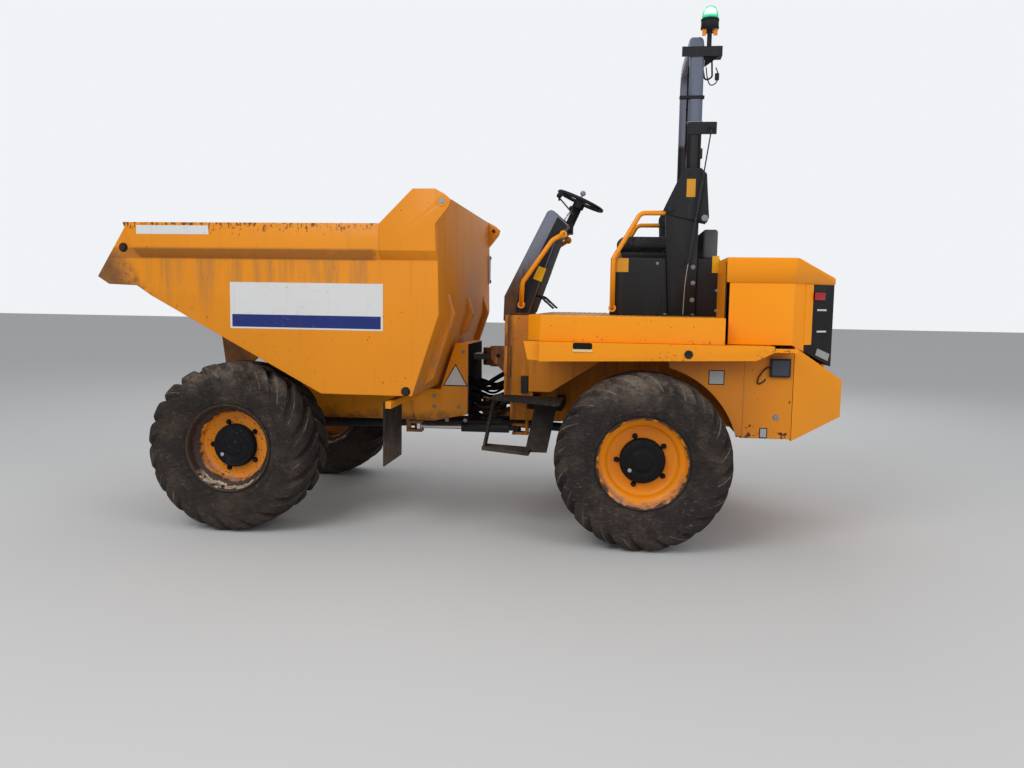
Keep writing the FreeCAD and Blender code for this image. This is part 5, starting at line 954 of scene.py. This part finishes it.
# Bonnet: moulded panels with a thick cap that stands proud of the sides, hinged at the tail, in glossy paint.
# Two panels with black seals close its front and stay on the frame when it opens.
bonnet_paint = finish_of("bonnet_paint", (252, 154, 1), 0.34, coat=0.18, dirt=(0.08, 1.2, 1.7, 0.06, 0.02),
                         variation=0.025)
rounded_copy("bonnet_shell", bonnet_paint, 0.009, 3)
CAP_LOW, CAP_TOP, CAP_SLOPE_X, CAP_TAIL = 1.747, 1.9075, 2.167, (2.4535, 1.7870)
CAP_PLAN = ((1.713, -0.956), (2.1455, -0.956), (2.4535, -0.7035), (2.4535, 0.7035), (2.1455, 0.956), (1.713, 0.956),
            (1.713, 0.500), (1.7295, 0.500), (1.7295, -0.500), (1.713, -0.500))
shape = bmesh.new()
rings = [[shape.verts.new((x, y, z)) for x, y in CAP_PLAN] for z in (CAP_LOW, CAP_TOP)]
for index in range(len(CAP_PLAN)):
    follow = (index + 1) % len(CAP_PLAN)
    shape.faces.new((rings[0][index], rings[0][follow], rings[1][follow], rings[1][index]))
shape.faces.new(rings[1])
slope = Vector((CAP_TOP - CAP_TAIL[1], 0, CAP_TAIL[0] - CAP_SLOPE_X)).normalized()
everything = shape.verts[:] + shape.edges[:] + shape.faces[:]
sliced = bmesh.ops.bisect_plane(shape, geom=everything, dist=0.00001, plane_co=(CAP_SLOPE_X, 0, CAP_TOP),
                                plane_no=slope, clear_outer=True)
bmesh.ops.contextual_create(shape, geom=[item for item in sliced["geom_cut"] if isinstance(item, bmesh.types.BMEdge)])
bmesh.ops.recalc_face_normals(shape, faces=shape.faces)
cap = new_piece("bonnet_cap", meshed("bonnet_cap", shape), bonnet_paint)
ease_edges(cap, 0.012, 4, 12)
wall = cap.modifiers.new("wall", "SOLIDIFY")
wall.thickness, wall.offset = 0.0045, -1.0
settle(cap, "bonnet", "body_paint")
for name, y0, y1, top, thickness, finish, slot_name in (
        ("bonnet_front", 0.485, 0.932, 1.895, 0.004, bonnet_paint, "body_paint"),
        ("bonnet_seal", 0.933, 0.947, 1.880, 0.008, cable_black, "rubber")):
    for side, tag in SIDES:
        panel = plate(f"{name}_{tag}", rectangle(side * y0, side * y1, 1.380, top), "x", 1.7085, 1.7085 + thickness,
                      finish, thickness / 4)
        settle(panel, "rear_frame", slot_name)

# Tail grille: black moulded plastic with slats across the tail, between the red lamps.
# Each slanted corner has a painted panel, two pale slots and a blank plate.
grille_black = finish_of("grille_black", (20, 20, 23), 0.5, dirt=(0.22, 1.0, 1.8, 0.18, 0.05), grain=0.15)
rounded_copy("bonnet_grille", grille_black, 0.002, 1)
CORNER_START, CORNER_RUN = (2.142, 0.950), (0.7733, -0.6340)


def on_corner(name, side, corners, lift, material):
    """Plate on the slanted rear corner; corners are (distance back from its front edge, height)."""
    normal = (-CORNER_RUN[1], -CORNER_RUN[0])
    points = []
    for out in (0.0003, lift):
        for along, z in corners:
            x = CORNER_START[0] + CORNER_RUN[0] * along + normal[0] * out
            y = CORNER_START[1] + CORNER_RUN[1] * along - normal[1] * out
            points.append((x, side * y, z))
    return new_piece(name, built(name, points, walls(len(corners))), material)


for name, corners, lift, finish, slot_name in (
        ("corner_panel", rectangle(0.108, 0.180, 1.350, 1.742), 0.004, bonnet_paint, "body_paint"),
        ("corner_slot_upper", rectangle(0.228, 0.322, 1.571, 1.582), 0.002, vinyl_white, "grille_black"),
        ("corner_slot_lower", rectangle(0.234, 0.328, 1.430, 1.441), 0.002, vinyl_white, "grille_black"),
        ("corner_plate", ((0.247, 1.324), (0.372, 1.285), (0.356, 1.239), (0.230, 1.281)), 0.004, vinyl_grey,
         "grille_black")):
    for side, tag in SIDES:
        settle(on_corner(f"{name}_{tag}", side, corners, lift, finish), "bonnet", slot_name)
lamp_red = finish_of("lamp_red", (176, 22, 34), 0.2, coat=0.5, dirt=(0.25, 1.0, 1.9, 0.15, 0.0),
                     relief_of=lambda w, place: w.times(w.math("SINE", w.times(w.apart(place)["Z"], 700)), 0.5))
rounded_copy("tail_lamps", lamp_red, 0.004, 2)

# Seat box: black steel panels bolted round the machine's controls, with a blank sticker and a warning label.
# The cowl behind the seat is moulded plastic.
panel_black = finish_of("panel_black", (27, 27, 30), 0.52, dirt=(0.30, 1.5, 2.0, 0.12, 0.06), grain=0.2, variation=0.05)
cowl_grey = finish_of("cowl_grey", (82, 84, 88), 0.5, dirt=(0.25, 1.5, 2.3, 0.12, 0.05), grain=0.2)
for node in ("seat_box", "rear_cowl", "seat_base"):
    rounded_copy(node, cowl_grey if node == "rear_cowl" else panel_black, 0.009 if node == "seat_box" else 0.02, 3)
vinyl_orange = scuffed((214, 150, 44))
PANEL_FACE = 0.480
SEAM = ((1.3255, 1.642), (1.3290, 1.642), (1.3000, 1.530), (1.2960, 1.530))
for name, outline, lift, finish in (("panel_sticker", stadium(0.992, 1.088, 1.822, 1.919, 0.006), STICKER,
                                     vinyl_orange),
                                    ("panel_label", stadium(1.668, 1.716, 1.823, 1.940, 0.004), STICKER, vinyl_yellow),
                                    ("panel_seam", SEAM, STICKER / 2, hole_dark)):
    on_both(name, outline, PANEL_FACE, PANEL_FACE + lift, finish, *ON_PANELS)
bolts("panel_bolts", *ON_PANELS, zinc,
      outward(PANEL_FACE, (0.980, 1.725), (0.980, 1.644), (0.980, 1.560), (1.704, 1.560), (1.704, 1.700),
              (1.290, 1.885)), 0.007, 0.005)

# Seat: foam under black vinyl, sewn in three panels, with a backrest that leans back.
# Pressure swells a cloth skin to its shape.
seat_vinyl = finish_of("seat_vinyl", (38, 38, 41), 0.5, dirt=(0.25, 1.9, 2.3, 0.15, 0.0),
                       mud=((86, 78, 70), (140, 130, 118)), grain=0.5, grain_scale=420)


PAD_INSET, PAD_CORNER, PAD_MESH, SEAM_DEPTH, SEAM_WIDTH = 0.014, 0.022, 0.006, 0.006, 0.007


def padded(name, node, front, channels, swell):
    """Vinyl pad over foam: the node's shape a little smaller, remeshed, blown up as cloth and sewn down in channels."""
    shape = bmesh.new()
    shape.from_mesh(frame["nodes"][node].data)
    bmesh.ops.remove_doubles(shape, verts=shape.verts, dist=0.00002)
    middle = sum((v.co for v in shape.verts), Vector()) / len(shape.verts)
    for v in shape.verts:
        away = v.co - middle
        v.co -= Vector([math.copysign(min(abs(a), PAD_INSET), a) for a in away])
    bmesh.ops.bevel(shape, geom=shape.edges[:], offset=PAD_CORNER, segments=4, profile=0.5, affect="EDGES")
    piece = new_piece(name, meshed(name, shape), seat_vinyl)
    remesh = piece.modifiers.new("even_mesh", "REMESH")
    remesh.mode, remesh.voxel_size = "VOXEL", PAD_MESH
    bpy.context.view_layer.update()
    even = bpy.data.meshes.new_from_object(piece.evaluated_get(bpy.context.evaluated_depsgraph_get()))
    piece.modifiers.remove(remesh)
    piece.data = even
    if not even.materials:
        even.materials.append(seat_vinyl)
    before = [v.co.copy() for v in even.vertices]
    cloth = piece.modifiers.new("skin", "CLOTH")
    cloth.settings.use_pressure, cloth.settings.uniform_pressure_force = True, 4.0
    cloth.settings.effector_weights.gravity = 0.0
    for number in range(1, 21):
        scene.frame_set(number)
    graph = bpy.context.evaluated_depsgraph_get()
    swollen = [v.co.copy() for v in piece.evaluated_get(graph).data.vertices]
    piece.modifiers.remove(cloth)
    for v, start, end in zip(even.vertices, before, swollen):
        move = end - start
        v.co = start + move * min(1.0, swell / max(move.length, 0.000001))
    for v in even.vertices:
        depth = sum(SEAM_DEPTH * math.exp(-((abs(v.co.y) - across) / SEAM_WIDTH) ** 2) for across in channels)
        facing = max(0.0, min(1.0, (v.normal.dot(front) - 0.4) * 2))
        v.co -= front * depth * facing
    even.update()
    for polygon in even.polygons:
        polygon.use_smooth = True
    fine = piece.modifiers.new("fine", "SUBSURF")
    fine.levels = fine.render_levels = 1
    settle(piece, body_names[node], slot_names[node], node)
    return piece


padded("seat_pad", "seat_cushion", Vector((0, 0, 1)), (0.125,), 0.024)
padded("backrest_pad", "seat_back", Vector((-0.972, 0, 0.235)), (0.125,), 0.024)

# Console: a folded steel cowl with a dark facing towards the operator, pedals, levers and the steering wheel's column.
# Boots have left mud on its foot, and a blank yellow label is on its side.
def boot_mud(w, place, clean):
    z = w.apart(place)["Z"]
    low = w.step(w.plus(z, w.times(w.noise(w.stretched(place, (3, 3, 1)), 8, 5, 0.65), 0.45)), 2.16, 1.90)
    return w.mix(w.times(low, 0.95), clean, w.mix(w.noise(place, 18, 4), (60, 38, 24), (120, 78, 44)))


console_grey = finish_of("console_grey", (112, 118, 134), 0.48, dirt=(0.42, 1.5, 2.2, 0.22, 0.25), extra=boot_mud)
trim_black = finish_of("trim_black", (20, 20, 23), 0.55, dirt=(0.35, 1.5, 2.3, 0.2, 0.1), grain=0.3)
display_glass = finish_of("display_glass", (14, 18, 22), 0.08, coat=0.6, dirt=(0.15, 1.5, 2.3, 0.1, 0.0))
lever_bright = finish_of("lever_bright", (196, 196, 192), 0.28, metal=0.9, dirt=(0.12, 1.5, 2.3, 0.05, 0.0))
cowl = rounded_copy("console", console_grey, 0.010, 3)
raised = {(0.472, 2.225): (0.488, 2.268), (0.517, 2.228): (0.520, 2.279), (0.607, 2.150): (0.650, 2.163)}
for v in cowl.data.vertices:
    for (x, z), (new_x, new_z) in raised.items():
        if abs(v.co.x - x) + abs(v.co.z - z) < 0.003:
            v.co.x, v.co.z = new_x, new_z
DASH_HALF, CONSOLE_SIDE = 0.262, 0.2795
DASH_START, DASH_RUN, DASH_FACE = Vector((0.5245, 0, 2.2748)), Vector((0.746, 0, -0.666)), Vector((0.666, 0, 0.746))


def on_dash(start, end, low, high):
    """Outline of a plate lying on the dash: distances down its slope and out of it."""
    corners = [DASH_START + DASH_RUN * along + DASH_FACE * out for along,
               out in ((start, low), (start, high), (end, high), (end, low))]
    return [(corner.x, corner.z) for corner in corners]


FACING = ((0.567, 2.083), (0.571, 2.082), (0.375, 1.520), (0.371, 1.521))
for name, outline, low, high, finish in (("console_facing", FACING, -DASH_HALF, DASH_HALF, trim_black),
                                         ("console_dash", on_dash(0.006, 0.160, -0.001, 0.004), -DASH_HALF, DASH_HALF,
                                          trim_black),
                                         ("dash_display", on_dash(0.030, 0.120, 0.003, 0.007), -0.215, -0.085,
                                          display_glass)):
    settle(plate(name, outline, "y", low, high, finish, 0.001), *ON_CONSOLE)
bolts("dash_switches", *ON_CONSOLE, trim_black,
      [(DASH_START + DASH_RUN * 0.08 + DASH_FACE * 0.004 + Vector((0, y, 0)), DASH_FACE) for y in (0.10, 0.15, 0.20)],
      0.012, 0.014, 16)
SIDE_SKIN = ((0.262, 1.518), (0.280, 1.640), (0.564, 2.226), (0.596, 2.200), (0.640, 2.158), (0.558, 2.085),
             (0.358, 1.518))
CONSOLE_LABEL = ((0.433, 1.865), (0.488, 1.847), (0.454, 1.749), (0.391, 1.773))
on_both("console_side", SIDE_SKIN, CONSOLE_SIDE, CONSOLE_SIDE + 0.002, panel_black, *ON_CONSOLE, 0.0005)
on_both("console_label", CONSOLE_LABEL, 0.2812, 0.2828, vinyl_yellow, *ON_CONSOLE)
PEDAL_MIDDLE, PEDAL_TURN = 0.19, Matrix.Rotation(math.radians(42), 4, "Y")
on_both("pedal", stadium(0.002, 0.118, 0, 0.012, 0.005), PEDAL_MIDDLE - 0.045, PEDAL_MIDDLE + 0.045, trim_black,
        *ON_CONSOLE, 0.002)
rods = [("direction_stalk", [(0.668, -0.020, 2.262), (0.640, -0.075, 2.300), (0.566, -0.170, 2.376)], 0.006,
         lever_bright),
        ("throttle_lever", [(0.560, 0.150, 2.185), (0.590, 0.155, 2.270), (0.640, 0.170, 2.320)], 0.007, lever_bright)]
for side, tag in SIDES:
    bpy.data.objects[f"pedal_{tag}"].data.transform(Matrix.Translation((0.45, 0, 1.628)) @ PEDAL_TURN)
    arm = [(x, side * PEDAL_MIDDLE, z) for x, z in ((0.385, 1.640), (0.440, 1.660), (0.485, 1.600))]
    rods.append((f"pedal_arm_{tag}", arm, 0.009, trim_black))
for name, line, radius, finish in rods:
    settle(tube(name, line, radius, finish), *ON_CONSOLE)


def upright(name, profile, centre, steps=48):
    """Closed outline of (height, radius) points turned about a line straight up."""
    data = turned(name, profile, (0, 0, 0), steps, 1)
    data.transform(Matrix.Translation(centre) @ Matrix.Rotation(math.pi / 2, 4, "X"))
    return data


KNOB = ((-0.020, 0.0), (-0.020, 0.008), (0.0, 0.008), (0.003, 0.016), (0.012, 0.021), (0.024, 0.020), (0.034, 0.013),
        (0.037, 0.0))
for name, place in (("stalk_knob", (0.566, -0.170, 2.376)), ("throttle_knob", (0.640, 0.170, 2.320))):
    settle(new_piece(name, upright(name, KNOB, place, 24), trim_black, 50), *ON_CONSOLE)
wheel_black = finish_of("wheel_black", (24, 24, 26), 0.5, dirt=(0.25, 2.0, 2.6, 0.15, 0.0), grain=0.3, grain_scale=420)
knob_grey = finish_of("knob_grey", (132, 134, 140), 0.4, dirt=(0.25, 2.0, 2.6, 0.15, 0.0))
lean = Matrix.Rotation(math.radians(24), 4, "Y")
for name, profile, place, finish in (("spinner_knob", KNOB, (0.735, -0.176, 2.392), knob_grey),
                                     ("wheel_cap", ((-0.004, 0.0), (-0.004, 0.041), (0.004, 0.041), (0.009, 0.036),
                                                    (0.012, 0.0)), (0.717, 0, 2.372), knob_grey)):
    data = upright(name, profile, (0, 0, 0), 32)
    data.transform(Matrix.Translation(place) @ lean)
    settle(new_piece(name, data, finish, 50), "steering_wheel", "panel_black")
smooth_copy("steering_wheel", wheel_black, 40)
smooth_copy("steering_column", trim_black)

# Rollover frame: a hoop of square steel tube that folds forward on pins in two posts, painted dark grey.
# Its lower part is darker than its top, and each foot has a blank yellow label and a pale locking knob.
def hoop_tone(w, place, clean):
    z = w.apart(place)["Z"]
    return w.mix(w.step(z, 2.87, 2.83), clean, (30, 31, 34))


hoop_grey = finish_of("hoop_grey", (100, 106, 122), 0.52, dirt=(0.16, 2.2, 3.4, 0.10, 0.12),
                      mud=((84, 80, 78), (138, 130, 122)), extra=hoop_tone, grain=0.15)
post_dark = finish_of("post_dark", (30, 31, 34), 0.52, dirt=(0.34, 1.5, 2.6, 0.18, 0.12),
                      mud=((70, 64, 60), (112, 102, 94)), grain=0.2)
smooth_copy("rops_hoop", hoop_grey, 24)
rounded_copy("rops_posts", post_dark, 0.005, 2)
strut_dark = finish_of("strut_dark", (46, 48, 53), 0.35, metal=0.4, dirt=(0.2, 1.6, 2.6, 0.1, 0.0))
shape = bmesh.new()
for side in (-1, 1):
    low, high = Vector((1.500, side * 0.534, 1.895)), Vector((1.625, side * 0.534, 2.812))
    for start, end, radius in ((low, low.lerp(high, 0.6), 0.0085), (low.lerp(high, 0.58), high, 0.0048)):
        part = tube("strut_part", [start, end], radius, strut_dark, True)
        shape.from_mesh(part.data)
        bpy.data.objects.remove(part)
    for eye, outer in ((low, 0.5145), (high, 0.5185)):
        eye_profile = ((0.548, 0.0), (0.548, 0.010), (0.545, 0.013), (outer, 0.013), (outer, 0.0))
        shape.from_mesh(turned("strut_eye", eye_profile, (eye.x, 0, eye.z), 24, side))
settle(new_piece("gas_strut_pair", meshed("gas_strut_pair", shape), strut_dark, 40), "gas_struts",
       slot_names["gas_struts"], "gas_struts")
LEG_FACE, CHEEK_FACE, FOOT_TOP = 0.498, 0.510, DECK_TOP + 0.012
PIVOT_BOSS = ((0.505, 0.0), (0.505, 0.034), (0.512, 0.034), (0.515, 0.031), (0.515, 0.022), (0.519, 0.022),
              (0.521, 0.019), (0.521, 0.0))
LOCK_KNOB = ((0.498, 0.0), (0.498, 0.012), (0.524, 0.012), (0.526, 0.021), (0.538, 0.024), (0.546, 0.020), (0.549, 0.0))
turned_on_both("pivot_boss", PIVOT_BOSS, 1.366, 2.262, 40, post_dark, *ON_HOOP)
turned_on_both("lock_knob", LOCK_KNOB, 1.600, 2.195, 28, knob_grey, *ON_HOOP, 40)
on_both("hoop_label", stadium(1.472, 1.532, 2.342, 2.465, 0.004), CHEEK_FACE, CHEEK_FACE + STICKER, vinyl_orange,
        *ON_HOOP)
on_both("strut_plate", stadium(1.469, 1.660, 2.768, 2.852, 0.006), 0.499, 0.5045, post_dark, *ON_HOOP, 0.0015)
bolts("post_bolts", *ON_POSTS, zinc,
      outward(LEG_FACE, (1.535, 1.861), (1.539, 1.750), (1.537, 1.632))
      + [((x, side * y, FOOT_TOP), (0, 0, 1)) for side in (-1, 1) for x in (1.350, 1.540) for y in (0.540, 0.370)],
      0.011, 0.009)
for side, tag in SIDES:
    foot = stadium(1.325, 1.575, side * LEG_FACE, side * 0.565, 0.012)
    settle(plate(f"post_foot_{tag}", foot, "z", DECK_TOP, FOOT_TOP, post_dark, 0.002), *ON_POSTS)
bolts("cheek_bolts", *ON_HOOP, post_dark,
      outward(CHEEK_FACE, (1.492, 2.309), (1.570, 2.309), (1.492, 2.500), (1.570, 2.500)), 0.008, 0.006)
for name, outline, low, high, finish, corner in (
        ("hoop_collar", stadium(1.4600, 1.5680, -0.5040, -0.3960, 0.024), 2.848, 2.858, knob_grey, 0.002),
        ("hoop_clip", stadium(1.402, 1.572, -0.503, -0.470, 0.010), 3.008, 3.030, trim_black, 0.003)):
    settle(plate(name, outline, "z", low, high, finish, corner), *ON_HOOP)
LANYARD = [(1.500, -0.540, 1.895), (1.482, -0.545, 1.780), (1.476, -0.545, 1.640), (1.473, -0.548, 1.530)]
settle(tube("foot_lanyard", LANYARD, 0.003, lever_bright), *ON_POSTS)

# Beacon: a green lens with ribbed sides over a black base, lit, on a stem behind the hoop.
# Its cable hangs in a loop under the shelf that carries two amber reflectors.
def lit_core(w, place, clean):
    z = w.apart(place)["Z"]
    facing = w.less(1.0, w.node("ShaderNodeLayerWeight", Blend=0.5).outputs["Facing"])
    core = w.times(w.step(z, 3.556, 3.585), w.step(z, 3.636, 3.612))
    return w.mix(w.times(core, w.step(facing, 0.45, 0.85)), clean, (232, 255, 248))


lens_green = finish_of("lens_green", (10, 176, 120), 0.2, coat=0.6, dirt=(0.05, 3.2, 3.6, 0.05, 0.0), extra=lit_core)
glow = lens_green.node_tree.nodes["Principled BSDF"]
glow.inputs["Emission Strength"].default_value = 0.75
lens_green.node_tree.links.new(glow.inputs["Base Color"].links[0].from_socket, glow.inputs["Emission Color"])
amber = finish_of("amber_lens", (236, 132, 20), 0.25, coat=0.4, dirt=(0.1, 3.2, 3.6, 0.05, 0.0))
BEACON = (1.594, -0.450)
LENS_OUTLINE = [(0.0, 0.0)]
for rib in range(15):
    narrow = 0.0560 - 0.0130 * (rib / 14) ** 2
    LENS_OUTLINE += [(rib * 0.0042, narrow - 0.0016), (rib * 0.0042 + 0.0030, narrow)]
for turn in range(1, 9):
    LENS_OUTLINE.append((0.0600 + 0.0300 * math.sin(math.radians(turn * 10)),
                         0.0420 * math.cos(math.radians(turn * 10))))
LENS_OUTLINE.append((0.090, 0.0))
lens = new_piece("beacon_dome", upright("beacon_dome", LENS_OUTLINE, (*BEACON, 3.548), 64), lens_green, 35)
settle(lens, "rollover_hoop", slot_names["beacon_lens"], "beacon_lens")
smooth_copy("beacon_mast", post_dark)
for name, z0, z1, radius in (("beacon_ring_low", 3.486, 3.494, 0.0625), ("beacon_ring_high", 3.535, 3.546, 0.0620)):
    data = upright(name, ((0.0, 0.055), (z1 - z0, 0.055), (z1 - z0 - 0.002, radius), (0.002, radius)), (*BEACON, z0),
                   48)
    settle(new_piece(name, data, trim_black, 30), *ON_HOOP)
for name, outline, low, high, finish, corner in (
        ("amber_reflector_0", stadium(BEACON[0] - 0.052, BEACON[0] - 0.024, 3.436, 3.480, 0.004), -0.472, -0.460, amber,
         0.002),
        ("amber_reflector_1", stadium(BEACON[0] + 0.024, BEACON[0] + 0.052, 3.436, 3.480, 0.004), -0.472, -0.460, amber,
         0.002),
        ("reflector_bar", rectangle(BEACON[0] - 0.050, BEACON[0] + 0.050, 3.452, 3.462), -0.460, -0.452, trim_black,
         0.001),
        ("lead_connector", stadium(1.640, 1.668, 3.140, 3.186, 0.004), -0.466, -0.446, trim_black, 0.002)):
    settle(plate(name, outline, "y", low, high, finish, corner), *ON_HOOP)
smooth_copy("beacon_cable", cable_black, 40)
free_cord("beacon_lead", [(1.645, -0.455, 3.225), (1.662, -0.456, 3.170), (1.648, -0.458, 3.122),
                          (1.612, -0.459, 3.108), (1.590, -0.460, 3.150), (1.578, -0.460, 3.226)], 0.004,
                          "rollover_hoop")

# Grab rails: bent steel tube in the machine's paint.
# Their flattened ends are drilled and bolted on.
rail_paint = finish_of("rail_paint", PAINT, 0.36, coat=0.2, dirt=(0.26, 1.5, 2.4, 0.20, 0.05))
smooth_copy("grab_rails", rail_paint, 35)
RAIL_IN, IN_SPOTS, RAIL_OUT, OUT_SPOT = 0.3222, ((0.309, 1.578), (0.611, 2.098)), 0.5122, (0.981, 1.566)
# Dark discs under the bolt heads: painted shade in the drilled holes round each bolt.
bolts("rail_hole_shadows", *ON_REAR, hole_dark,
      outward(RAIL_IN, *IN_SPOTS) + outward(RAIL_OUT, OUT_SPOT), 0.0085, 0.0016, 20)
bolts("rail_bolts", *ON_REAR, zinc,
      outward(RAIL_IN + 0.0004, *IN_SPOTS) + outward(RAIL_OUT + 0.0004, OUT_SPOT), 0.006, 0.005)

# Studio: a plain pale floor, a pale sky and three soft lamps.
# None of it is part of the machine.
floor_mesh = bpy.data.meshes.new("studio_floor")
floor_mesh.from_pydata([(-60, -60, 0), (60, -60, 0), (60, 60, 0), (-60, 60, 0)], [], [(0, 1, 2, 3)])
floor_material = bpy.data.materials.new("studio_floor")
floor_material.use_nodes = True
floor_shader = floor_material.node_tree.nodes["Principled BSDF"]
floor_shader.inputs["Base Color"].default_value = (0.60, 0.60, 0.595, 1)
floor_shader.inputs["Roughness"].default_value = 0.9
new_piece("studio_floor", floor_mesh, floor_material)
world = bpy.data.worlds.new("studio")
scene.world = world
world.use_nodes = True
w = Wiring(world.node_tree)
for old in list(world.node_tree.nodes):
    world.node_tree.nodes.remove(old)
path = w.node("ShaderNodeLightPath")
mirrored = w.larger(path.outputs["Is Glossy Ray"], path.outputs["Is Transmission Ray"])
strength = w.mix_number(path.outputs["Is Camera Ray"], w.mix_number(mirrored, 0.56, 0.40), 0.92)
sky = w.node("ShaderNodeBackground", Color=(0.95, 0.97, 1.0, 1), Strength=strength)
w.put(w.node("ShaderNodeOutputWorld").inputs["Surface"], sky.outputs[0])
for lamp_name, place, size, power in (("key", (-3.5, -7.5, 7.0), 5.0, 380), ("fill", (6.5, -6.0, 4.5), 5.0, 160),
                                      ("back", (0.5, 8.0, 6.5), 6.0, 230)):
    lamp_data = bpy.data.lights.new("lamp_" + lamp_name, "AREA")
    lamp_data.energy, lamp_data.size = power, size
    lamp = bpy.data.objects.new("lamp_" + lamp_name, lamp_data)
    scene.collection.objects.link(lamp)
    aim = (Vector((0, 0, 1.2)) - Vector(place)).to_track_quat("-Z", "Y")
    lamp.matrix_world = Matrix.LocRotScale(Vector(place), aim, None)
